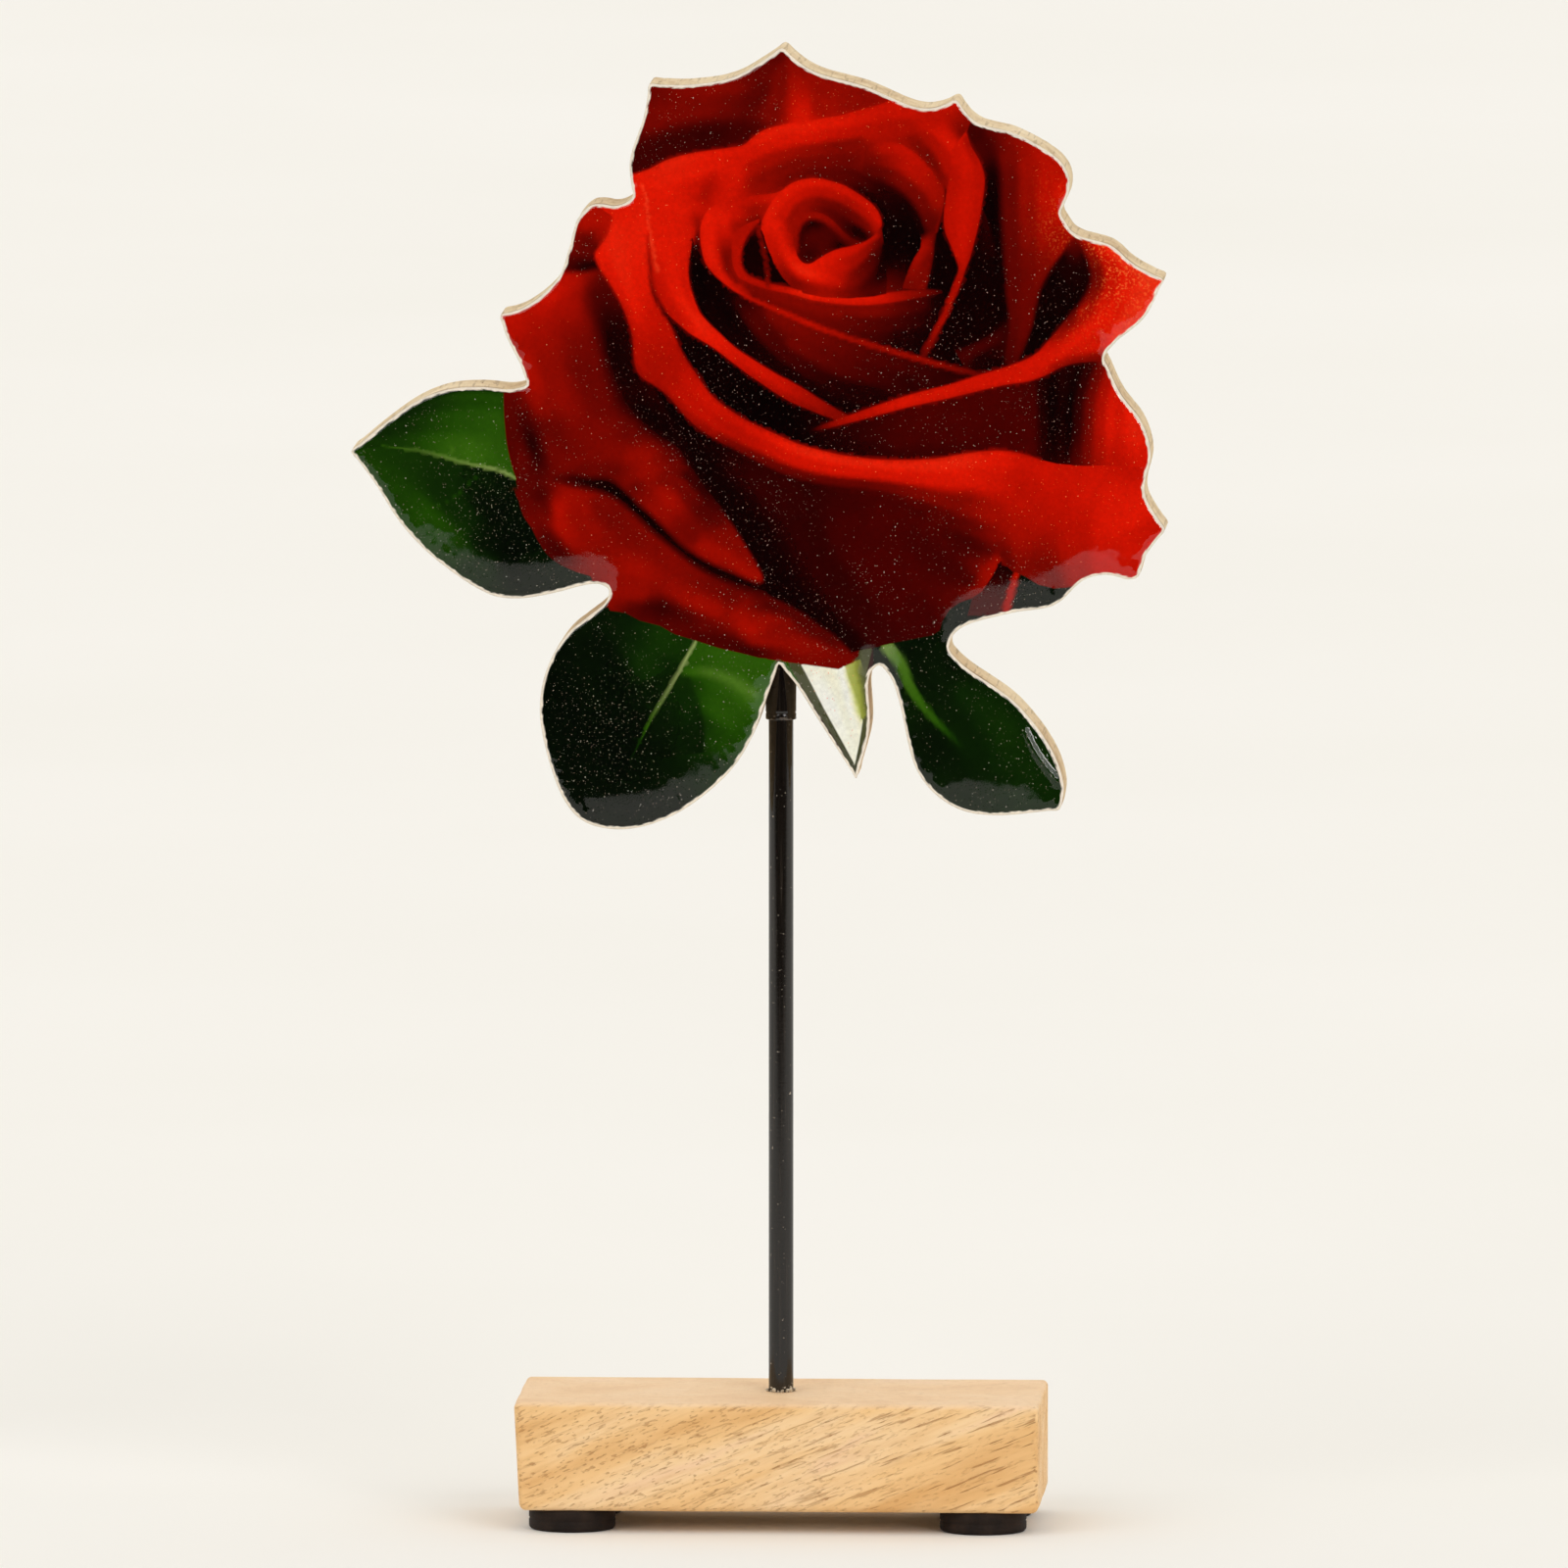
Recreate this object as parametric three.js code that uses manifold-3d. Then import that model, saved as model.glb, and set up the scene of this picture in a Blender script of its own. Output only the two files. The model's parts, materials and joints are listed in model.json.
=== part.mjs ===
// A table ornament: a rose sawn from a wooden plate, with a printed sheet under clear resin on its front.
// A socket tube in the plate's lower edge sits on a steel rod, which stands in a wooden block on four feet.
// Millimetres, +Z up, picture side towards -Y. The origin is on the table, under the middle of the width.
import * as THREE from "three";
import { mergeVertices } from "three/addons/utils/BufferGeometryUtils.js";
import Module from "manifold-3d";

// Block and feet
const blockWidth = 106;
const blockDepth = 44;
const blockHeight = 22;
const blockEdgeRadius = 1.5;
const blockCornerRadius = 3;
const blockLeftEndSlant = 1.2;
const footDiameter = 17.5;
const footHeight = 4.5;
const footEdgeRadius = 0.8;
const footEndInset = 2.75;
const footSideInset = 0.5;

// Rod and socket tube
const rodDiameter = 5;
const rodSunkInBlock = 17;
const rodShown = 136.5;
const rodChamfer = 0.4;
const socketWall = 0.45;
const socketShown = 12;
const socketSunkInPlate = 20;
const slipGap = 0.15;
const holeEndGap = 0.3;

// Rose plate and what covers its front
const roseWidth = 164;
const roseHeight = 158;
const plateThickness = 16;
const printThickness = 0.25;
const resinThickness = 2;
const resinEdgeReach = 0.7;
const resinEdgeDrop = 1.25;

// Smoothness of round and curved faces
const roundSegments = 32;
const edgeSegments = 3;
const outlineStep = 2.2;

// Places that follow from the sizes
const blockTop = footHeight + blockHeight;
const rodFoot = blockTop - rodSunkInBlock;
const socketFoot = blockTop + rodShown;
const notchHeight = socketFoot + socketShown;
const socketTop = notchHeight + socketSunkInPlate;
const rodRadius = rodDiameter / 2;
const socketBoreRadius = rodRadius + slipGap;
const socketRadius = socketBoreRadius + socketWall;
const footX = (blockWidth - footDiameter) / 2 - footEndInset;
const footY = (blockDepth - footDiameter) / 2 - footSideInset;
const plateFront = plateThickness / 2;
const printFront = plateFront + printThickness;

// The rose's edge as [across, up] from the notch that takes the rod, clockwise seen from the front.
// Each list is one smooth stretch, and a corner lies where one stretch ends and the next one starts.
const roseEdge = [
  // Lower left leaf, then the rounded gap to the left leaf and the leaf's lower side
  [[0, 0], [-2, -5.5], [-5.5, -15], [-9.2, -21], [-15, -26.6], [-21, -30.6], [-28, -33.2], [-34, -33.6],
    [-39.5, -32], [-43.2, -28], [-47, -17.5], [-48.2, -9], [-46.7, -1], [-42.5, 6], [-38, 9.7], [-34.6, 12.8],
    [-34.5, 15.4], [-37.5, 16], [-46, 14], [-52.5, 13], [-58, 13.7], [-69, 20.7], [-76, 27.8], [-81.5, 36.3],
    [-86.2, 42.6]],
  // Left leaf, upper side
  [[-86.2, 42.6], [-78.7, 48.8], [-72.5, 53], [-66.5, 55.2], [-60, 55.7], [-53.5, 55.3], [-50.8, 56.3]],
  // Left petals
  [[-50.8, 56.3], [-52, 60.2], [-55, 66.2], [-56.1, 70.2]],
  [[-56.1, 70.2], [-51, 72], [-44.6, 77.6], [-42.2, 84], [-40.4, 90], [-37.4, 92.7], [-32, 92.5], [-29.4, 94.4]],
  [[-29.4, 94.4], [-30, 101.5], [-27.2, 110.6], [-26.1, 117]],
  // Top petal
  [[-26.1, 117], [-17.5, 117], [-9, 118.6], [0.6, 124.4]],
  [[0.6, 124.4], [6.5, 120], [17.5, 116.7], [27.3, 112.7], [31, 112.5], [35.6, 114.1]],
  // Right petals
  [[35.6, 114.1], [39.5, 109.8], [48, 107.2], [57, 101.4], [58.5, 97], [56.7, 91.4]],
  [[56.7, 91.4], [59.2, 87.5], [67, 84.8], [71, 81.4], [77.3, 78]],
  [[77.3, 78], [73.6, 70.5], [67.6, 65.3], [65.4, 62.3]],
  [[65.4, 62.3], [68.6, 55.2], [73, 49.2], [74.8, 43], [73.6, 35], [77.7, 27.5]],
  // Lower right petal, then the rounded gap to the right leaf and the leaf's upper side
  [[77.7, 27.5], [73.7, 22], [71.9, 17.6], [66, 18.4], [61.5, 17.4], [55.6, 12.3], [46.5, 10.5], [36.3, 7.2],
    [34.2, 3.5], [36.8, 0.2], [48, -8], [55.6, -18.4], [57.4, -25.5], [56.5, -29.2]],
  // Right leaf, lower side, then the rounded gap to the sepal and the sepal's right side
  [[56.5, -29.2], [43.5, -30.4], [36.8, -29.4], [31.3, -26], [27.5, -20.7], [24.2, -7.3], [22.4, -2.4],
    [20, -0.1], [18.2, -2.4], [18.2, -13], [15.6, -23.1]],
  // Sepal, left side, back to the notch
  [[15.6, -23.1], [8.3, -11.8], [3.6, -4.3], [0, 0]],
];

const wasm = await Module();
wasm.setup();

// A closed geometry as a solid that can be cut.
function solidOf(geometry) {
  const bare = geometry.clone();
  bare.deleteAttribute("normal");
  bare.deleteAttribute("uv");
  const merged = mergeVertices(bare, 1e-4);
  return new wasm.Manifold(new wasm.Mesh({
    numProp: 3,
    vertProperties: merged.attributes.position.array,
    triVerts: new Uint32Array(merged.index.array),
  }));
}

// The geometry that is left when the tool is cut away.
function cut(geometry, tool) {
  const mesh = solidOf(geometry).subtract(solidOf(tool)).getMesh();
  const left = new THREE.BufferGeometry();
  left.setAttribute("position", new THREE.BufferAttribute(mesh.vertProperties, 3));
  left.setIndex(new THREE.BufferAttribute(mesh.triVerts, 1));
  return left;
}

// A round piece about the vertical axis, from its [radius, height] profile.
function turned(profile) {
  const points = profile.map(([radius, height]) => new THREE.Vector2(radius, height));
  return new THREE.LatheGeometry(points, roundSegments).rotateX(Math.PI / 2);
}

// A plain round bar between two heights, for rods and for drilling.
function bar(radius, low, high) {
  return turned([[0, low], [radius, low], [radius, high], [0, high]]);
}

// The rounded lower edge of a turned piece, from its flat underside at height 0 up to its side.
function lowerEdge(outerRadius, edgeRadius) {
  const arc = new THREE.Path().absarc(outerRadius - edgeRadius, edgeRadius, edgeRadius, -Math.PI / 2, 0);
  return arc.getPoints(edgeSegments).map((point) => point.toArray());
}

// A polygon whose corners are rounded.
function roundedPolygon(corners, radius) {
  const shape = new THREE.Shape();
  corners.forEach((corner, i) => {
    const before = corners[(i + corners.length - 1) % corners.length];
    const after = corners[(i + 1) % corners.length];
    const start = corner.clone().add(before.clone().sub(corner).setLength(radius));
    const end = corner.clone().add(after.clone().sub(corner).setLength(radius));
    if (i === 0) shape.moveTo(start.x, start.y);
    else shape.lineTo(start.x, start.y);
    shape.quadraticCurveTo(corner.x, corner.y, end.x, end.y);
  });
  return shape;
}

// The rose's edge as evenly spaced points, fitted to the width and height above.
function roseOutline() {
  const drawn = new THREE.Box2();
  roseEdge.flat().forEach(([across, up]) => drawn.expandByPoint(new THREE.Vector2(across, up)));
  const drawnSize = drawn.getSize(new THREE.Vector2());
  const across = roseWidth / drawnSize.x;
  const up = roseHeight / drawnSize.y;
  return roseEdge.flatMap((stretch) => {
    const points = stretch.map(([x, y]) => new THREE.Vector3(x * across, y * up, 0));
    const curve = new THREE.CatmullRomCurve3(points, false, "centripetal");
    const steps = Math.max(2, Math.round(curve.getLength() / outlineStep));
    const spaced = curve.getSpacedPoints(steps).slice(0, -1);
    return spaced.map((point) => new THREE.Vector2(point.x, point.y));
  });
}

const outline = roseOutline();
const roseShape = new THREE.Shape(outline);

// A slab with the rose's outline between two depths, counted towards the picture side.
function roseSlab(back, front) {
  const slab = new THREE.ExtrudeGeometry(roseShape, { depth: front - back, bevelEnabled: false });
  return slab.translate(0, 0, back).rotateX(Math.PI / 2);
}

function rosePlate() {
  const drill = bar(socketRadius + slipGap, -2 * roseHeight, socketSunkInPlate + holeEndGap);
  return cut(roseSlab(-plateFront, plateFront), drill);
}

// The resin's front edge is rounded. It is made thicker than it is, and its back is cut flat on the print.
function resinCoat() {
  const rounded = new THREE.ExtrudeGeometry(roseShape, {
    depth: resinThickness,
    bevelThickness: resinEdgeDrop,
    bevelSize: resinEdgeReach,
    bevelOffset: -resinEdgeReach,
    bevelSegments: edgeSegments,
  });
  rounded.translate(0, 0, printFront - resinEdgeDrop);
  const behind = new THREE.BoxGeometry(3 * roseWidth, 3 * roseHeight, 2 * printFront);
  return cut(rounded, behind).rotateX(Math.PI / 2);
}

function socketTube() {
  const low = -socketShown;
  const high = socketSunkInPlate;
  return turned([[socketBoreRadius, low], [socketRadius, low], [socketRadius, high], [socketBoreRadius, high],
    [socketBoreRadius, low]]);
}

function rod() {
  const inner = rodRadius - rodChamfer;
  return turned([[0, rodFoot], [inner, rodFoot], [rodRadius, rodFoot + rodChamfer],
    [rodRadius, socketTop - rodChamfer], [inner, socketTop], [0, socketTop]]);
}

// The block is extruded from its front view, and its left end is sawn a little out of square.
function baseBlock() {
  const half = blockWidth / 2;
  const corners = [[-half + blockLeftEndSlant, footHeight], [half, footHeight], [half, blockTop], [-half, blockTop]];
  const front = roundedPolygon(corners.map(([x, z]) => new THREE.Vector2(x, z)), blockCornerRadius);
  const block = new THREE.ExtrudeGeometry(front, {
    depth: blockDepth - 2 * blockEdgeRadius,
    bevelThickness: blockEdgeRadius,
    bevelSize: blockEdgeRadius,
    bevelOffset: -blockEdgeRadius,
    bevelSegments: edgeSegments,
    curveSegments: 2 * edgeSegments,
  });
  block.translate(0, 0, blockEdgeRadius - blockDepth / 2).rotateX(Math.PI / 2);
  return cut(block, bar(rodRadius + slipGap, rodFoot, 2 * blockTop));
}

function foot() {
  const radius = footDiameter / 2;
  return turned([[0, 0], ...lowerEdge(radius, footEdgeRadius), [radius, footHeight], [0, footHeight]]);
}

const wood = new THREE.MeshStandardMaterial({ color: 0xe3bd85, roughness: 0.65, metalness: 0 });
const sawnWood = new THREE.MeshStandardMaterial({ color: 0xd9b98c, roughness: 0.75, metalness: 0 });
const print = new THREE.MeshStandardMaterial({ color: 0xa80d05, roughness: 0.5, metalness: 0 });
const resin = new THREE.MeshStandardMaterial({
  color: 0xf4f0ea, roughness: 0.05, metalness: 0, transparent: true, opacity: 0.15,
});
const blackSteel = new THREE.MeshStandardMaterial({ color: 0x1d1815, roughness: 0.4, metalness: 0.6 });
const rubber = new THREE.MeshStandardMaterial({ color: 0x1c1613, roughness: 0.8, metalness: 0 });

function piece(name, geometry, material) {
  const mesh = new THREE.Mesh(geometry, material);
  mesh.name = name;
  return mesh;
}

const stand = new THREE.Group();
stand.add(piece("base_block", baseBlock(), wood));
stand.add(piece("rod", rod(), blackSteel));
for (const [row, y] of [["front", -footY], ["rear", footY]]) {
  for (const [side, x] of [["left", -footX], ["right", footX]]) {
    const pad = piece(`foot_${row}_${side}`, foot(), rubber);
    pad.position.set(x, y, 0);
    stand.add(pad);
  }
}

const roseHead = new THREE.Group();
roseHead.position.z = notchHeight;
roseHead.add(piece("rose_plate", rosePlate(), sawnWood));
roseHead.add(piece("rose_print", roseSlab(plateFront, printFront), print));
roseHead.add(piece("resin_coat", resinCoat(), resin));
roseHead.add(piece("socket_tube", socketTube(), blackSteel));

const ornament = new THREE.Group();
const outlineMiddle = new THREE.Box2().setFromPoints(outline).getCenter(new THREE.Vector2());
ornament.position.x = -outlineMiddle.x;
ornament.add(stand, roseHead);

export default ornament;
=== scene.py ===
import json
import math

import bmesh
import bpy
import numpy as np
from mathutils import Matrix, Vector
from mathutils.geometry import delaunay_2d_cdt


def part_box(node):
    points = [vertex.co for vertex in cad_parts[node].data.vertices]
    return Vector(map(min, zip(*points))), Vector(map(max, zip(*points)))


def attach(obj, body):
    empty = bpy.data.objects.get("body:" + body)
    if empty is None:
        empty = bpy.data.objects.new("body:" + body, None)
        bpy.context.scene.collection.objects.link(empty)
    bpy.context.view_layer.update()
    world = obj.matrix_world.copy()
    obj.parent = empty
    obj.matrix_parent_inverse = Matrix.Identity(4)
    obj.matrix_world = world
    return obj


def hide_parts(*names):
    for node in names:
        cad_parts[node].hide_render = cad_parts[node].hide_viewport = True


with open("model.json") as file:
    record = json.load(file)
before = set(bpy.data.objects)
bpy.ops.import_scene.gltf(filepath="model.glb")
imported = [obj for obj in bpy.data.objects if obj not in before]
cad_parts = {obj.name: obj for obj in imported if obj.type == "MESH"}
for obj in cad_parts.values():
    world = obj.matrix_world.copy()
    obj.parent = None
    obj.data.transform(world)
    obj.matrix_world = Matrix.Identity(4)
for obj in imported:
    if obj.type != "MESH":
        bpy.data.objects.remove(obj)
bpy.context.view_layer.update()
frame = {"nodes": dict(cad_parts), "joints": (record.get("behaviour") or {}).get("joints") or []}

# Places and sizes from the frame. The picture is drawn in mm from the notch where the rod meets the rose.
MM = 0.001
PER_M = 1000.0
notch = Vector(next(joint["pos_m"] for joint in frame["joints"] if joint["name"] == "rose_turn"))
plate_low, plate_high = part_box("rose_plate")
print_low, print_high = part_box("rose_print")
resin_low, resin_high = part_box("resin_coat")
block_low, block_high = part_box("base_block")
rod_low, rod_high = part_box("rod")
socket_low, socket_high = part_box("socket_tube")
rod_radius = (rod_high.x - rod_low.x) / 2
socket_radius = (socket_high.x - socket_low.x) / 2
rod_axis = (notch.x, 0.0)
rng = np.random.default_rng(11)

# Curves and outlines in the plane of the picture, in mm, where TINY and NIL are as good as nothing
TINY = 1e-6
NIL = 1e-9
CURVE_STEP = 0.6
CORNER_DIGITS = 3
SAME_DEPTH = 0.001


def smooth(points, step=CURVE_STEP, closed=False):
    """Points along a smooth curve through the given ones."""

    def pace(start, end):
        return max(np.hypot(*(end - start)[:2]), TINY) ** 0.5

    p = np.asarray(points, float)
    if closed:
        ends = np.vstack([p[-1:], p, p[:2]])
    else:
        ends = np.vstack([2 * p[0] - p[1], p, 2 * p[-1] - p[-2]])
    run = []
    for a, b, c, d in zip(ends, ends[1:], ends[2:], ends[3:]):
        tb = pace(a, b)
        tc = tb + pace(b, c)
        td = tc + pace(c, d)
        count = max(1, math.ceil(np.hypot(*(c - b)[:2]) / step))
        t = (tb + (tc - tb) * np.arange(count) / count)[:, None]
        ab = ((tb - t) * a + t * b) / tb
        bc = ((tc - t) * b + (t - tb) * c) / (tc - tb)
        cd = ((td - t) * c + (t - tc) * d) / (td - tc)
        abc = ((tc - t) * ab + t * bc) / tc
        bcd = ((td - t) * bc + (t - tb) * cd) / (td - tb)
        run.append(((tc - t) * abc + (t - tb) * bcd) / (tc - tb))
    return np.vstack(run if closed else run + [p[-1:]])


def inside(loop, at):
    """True where a point lies inside a closed loop."""
    hit = np.zeros(len(at), bool)
    x, y = at.T
    for (x0, y0), (x1, y1) in zip(loop, np.roll(loop, -1, 0)):
        if y0 != y1:
            hit ^= ((y0 > y) != (y1 > y)) & (x < (x1 - x0) * (y - y0) / (y1 - y0) + x0)
    return hit


def nearest(path, at):
    """The distance from each point to a path of (across, up, values), and the values at the nearest place."""
    best = np.full(len(at), np.inf)
    value = np.zeros((len(at), path.shape[1] - 2))
    for a, b in zip(path, path[1:]):
        along = b[:2] - a[:2]
        t = np.clip(((at - a[:2]) @ along) / max(along @ along, TINY ** 2), 0, 1)
        gap = np.hypot(*(at - a[:2] - t[:, None] * along).T)
        closer = gap < best
        best[closer] = gap[closer]
        value[closer] = a[2:] + t[closer, None] * (b[2:] - a[2:])
    return best, value


def gap_to(loop, at):
    """The distance from each point to a closed loop."""
    return nearest(np.vstack([loop, loop[:1]]), at)[0]


def outwards(loop):
    """The outward normal at each point of an anticlockwise loop."""
    along = np.roll(loop, -1, 0) - np.roll(loop, 1, 0)
    along /= np.hypot(*along.T)[:, None]
    return np.column_stack([along[:, 1], -along[:, 0]])


def outline_of(node, depth):
    """The rim of a node's flat face at this depth, anticlockwise as seen from the front."""
    mesh = frame["nodes"][node].data
    at = np.array([v.co for v in mesh.vertices]) * PER_M
    numbers = {}
    number = [numbers.setdefault(tuple(np.round(c, CORNER_DIGITS)), len(numbers)) for c in at]
    corner = list(numbers)
    edges = set()
    for face in mesh.polygons:
        if all(abs(at[v][1] - depth * PER_M) < SAME_DEPTH for v in face.vertices):
            ring = [number[v] for v in face.vertices]
            edges.update(zip(ring, ring[1:] + ring[:1]))
    after = {a: b for a, b in edges if (b, a) not in edges}
    first = min(after)
    ring = [first]
    while after[ring[-1]] != first:
        ring.append(after[ring[-1]])
    loop = np.array([(corner[i][0] - notch.x * PER_M, corner[i][2] - notch.z * PER_M) for i in ring])
    area = np.sum(loop[:, 0] * np.roll(loop[:, 1], -1) - loop[:, 1] * np.roll(loop[:, 0], -1))
    return loop if area > 0 else loop[::-1]


def eased(share):
    """A share from 0 to 1, with a soft start and end."""
    share = np.clip(share, 0, 1)
    return share * share * (3 - 2 * share)


def near_to(at, centre, reach):
    """1 at a centre, falling to 0 beyond its reach."""
    return np.exp(-(((at - np.array(centre)) / reach) ** 2).sum(1))


def waves(at, ways):
    """A sum of waves, each with the way it runs and its start."""
    return sum(np.sin(at @ np.array(way) + start) for way, start in ways)


# Meshes: a grid's rows and unevenness as shares of its spacing, then insets and the sides of turned shapes
GRID_ROW = 0.866
GRID_UNEVEN = 0.16
INSET_KEPT = 0.96
INSET_STEP = 0.08
TURNED_SIDES = 64
DRILL_SIDES = 48


def in_frame(at, depth):
    """Points of the picture, in mm, as points of the frame, in metres."""
    depths = np.broadcast_to(depth, len(at))
    return np.column_stack([at[:, 0] * MM + notch.x, depths, at[:, 1] * MM + notch.z])


def placed(name, data):
    """An object at the origin that shows a mesh, a lamp or a camera."""
    thing = bpy.data.objects.new(name, data)
    bpy.context.scene.collection.objects.link(thing)
    return thing


def new_piece(name, points, faces, material, flat=()):
    """A piece made from points and faces. The faces in flat keep their edges hard."""
    mesh = bpy.data.meshes.new(name)
    mesh.from_pydata([tuple(p) for p in points], [], [tuple(f) for f in faces])
    mesh.materials.append(material)
    mesh.polygons.foreach_set("use_smooth", [i not in flat for i in range(len(faces))])
    mesh.update()
    return placed(name, mesh)


def belongs(piece, body, slot, *nodes):
    """Says which body a piece rides on, and hides the nodes it stands for. The slot, its finish's name, is
    not used.
    """
    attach(piece, body)
    if nodes:
        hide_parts(*nodes)


def carries(piece, name, values, rest=0.0):
    """Gives the first points of a piece these values, and the rest to its other points."""
    every = np.full(len(piece.data.vertices), rest)
    every[:len(values)] = values
    piece.data.attributes.new(name, "FLOAT", "POINT").data.foreach_set("value", every)


def applied(piece, modifier):
    """Makes what a modifier shows the piece's own mesh."""
    seen = piece.evaluated_get(bpy.context.evaluated_depsgraph_get())
    mesh = bpy.data.meshes.new_from_object(seen)
    piece.modifiers.remove(modifier)
    piece.data = mesh


def filled(outline, runs, points):
    """Triangles over an outline, rows of joined points and loose points. The outline's points stay first."""
    count = len(outline)
    joins = [(i, (i + 1) % count) for i in range(count)]
    for run in runs:
        joins += [(count + i, count + i + 1) for i in range(len(run) - 1)]
        count += len(run)
    given = [Vector(p) for p in np.vstack([outline, *runs, points])]
    at, _, faces, came_from, _, _ = delaunay_2d_cdt(given, joins, [], 1, TINY)
    used = {v for f in faces for v in f}
    used = sorted(used, key=lambda v: min(came_from[v]) if came_from[v] else len(given))
    number = {v: i for i, v in enumerate(used)}
    return np.array([at[v] for v in used]), [tuple(number[v] for v in f) for f in faces]


def grid_inside(outline, spacing, clear):
    """A slightly uneven grid of points inside an outline, clear of its edge."""
    low, high = outline.min(0), outline.max(0)
    across = np.arange(low[0], high[0], spacing)
    across, up = np.meshgrid(across, np.arange(low[1], high[1], spacing * GRID_ROW))
    across = across + (np.arange(len(across)) % 2)[:, None] * spacing / 2
    at = np.column_stack([across.ravel(), up.ravel()])
    at = at + rng.uniform(-GRID_UNEVEN, GRID_UNEVEN, at.shape) * spacing
    at = at[inside(outline, at)]
    return at[gap_to(outline, at) > clear]


def inset_runs(outline, gaps):
    """Rows of points at these distances inside an outline, broken where its sides come too close."""
    runs = []
    for gap in gaps:
        row = outline - outwards(outline) * gap
        clear = inside(outline, row) & (gap_to(outline, row) > gap * INSET_KEPT)
        run = []
        for point, kept in zip(np.vstack([row, row[:1]]), np.append(clear, clear[0])):
            if kept and (not run or np.hypot(*(point - run[-1])) > INSET_STEP):
                run.append(point)
            elif not kept and run:
                runs.append(np.array(run))
                run = []
        if run:
            runs.append(np.array(run))
    return runs


def thinned(fixed, points, spacing):
    """The points that are left when they keep this far from the fixed ones and from each other."""
    taken = {}
    kept = []
    beside = [(i, j) for i in (-1, 0, 1) for j in (-1, 0, 1)]
    for number, p in enumerate(np.vstack([fixed, points])):
        cell = (math.floor(p[0] / spacing), math.floor(p[1] / spacing))
        near = [q for i, j in beside for q in taken.get((cell[0] + i, cell[1] + j), ())]
        free = all((p[0] - q[0]) ** 2 + (p[1] - q[1]) ** 2 > spacing * spacing for q in near)
        if number < len(fixed) or free:
            taken.setdefault(cell, []).append(p)
            if number >= len(fixed):
                kept.append(p)
    return np.array(kept)


def turned(name, profile, centre, material, sides=TURNED_SIDES):
    """A closed shape turned round an upright axis: profile is (radius, height) up the outside and back."""
    points, rings = [], []
    for radius, height in profile:
        if radius < NIL:
            rings.append([len(points)])
            points.append((centre[0], centre[1], height))
            continue
        rings.append(range(len(points), len(points) + sides))
        for k in range(sides):
            turn = 2 * math.pi * k / sides
            points.append((centre[0] + radius * math.cos(turn), centre[1] + radius * math.sin(turn), height))
    pairs = list(zip(rings, rings[1:]))
    if len(rings[0]) > 1:
        pairs.append((rings[-1], rings[0]))
    faces = []
    for low, high in pairs:
        for k in range(sides):
            n = (k + 1) % sides
            if len(low) == 1:
                faces.append((low[0], high[n], high[k]))
            elif len(high) == 1:
                faces.append((low[k], low[n], high[0]))
            else:
                faces.append((low[k], low[n], high[n], high[k]))
    return new_piece(name, points, faces, material)


def drilled(piece, radius, low, high):
    """Drills a round upright hole into a piece, on the rod's axis."""
    profile = [(0, low), (radius, low), (radius, high), (0, high)]
    drill = turned("drill", profile, rod_axis, piece.data.materials[0], DRILL_SIDES)
    cut = piece.modifiers.new("hole", "BOOLEAN")
    cut.operation = "DIFFERENCE"
    cut.solver = "EXACT"
    cut.object = drill
    applied(piece, cut)
    bpy.data.objects.remove(drill)


# Node trees
class Socket:
    """A socket of a node tree, with the sums that its values need."""

    def __init__(self, tree, socket):
        self.tree = tree
        self.socket = socket

    def sum(self, operation, first, second):
        return self.tree.add("ShaderNodeMath", {"operation": operation}, {0: first, 1: second})

    def __add__(self, other):
        return self.sum("ADD", self, other)

    def __radd__(self, other):
        return self.sum("ADD", other, self)

    def __sub__(self, other):
        return self.sum("SUBTRACT", self, other)

    def __rsub__(self, other):
        return self.sum("SUBTRACT", other, self)

    def __mul__(self, other):
        return self.sum("MULTIPLY", self, other)

    def __rmul__(self, other):
        return self.sum("MULTIPLY", other, self)

    def __truediv__(self, other):
        return self.sum("DIVIDE", self, other)

    def __pow__(self, other):
        return self.sum("POWER", self, other)


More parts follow.
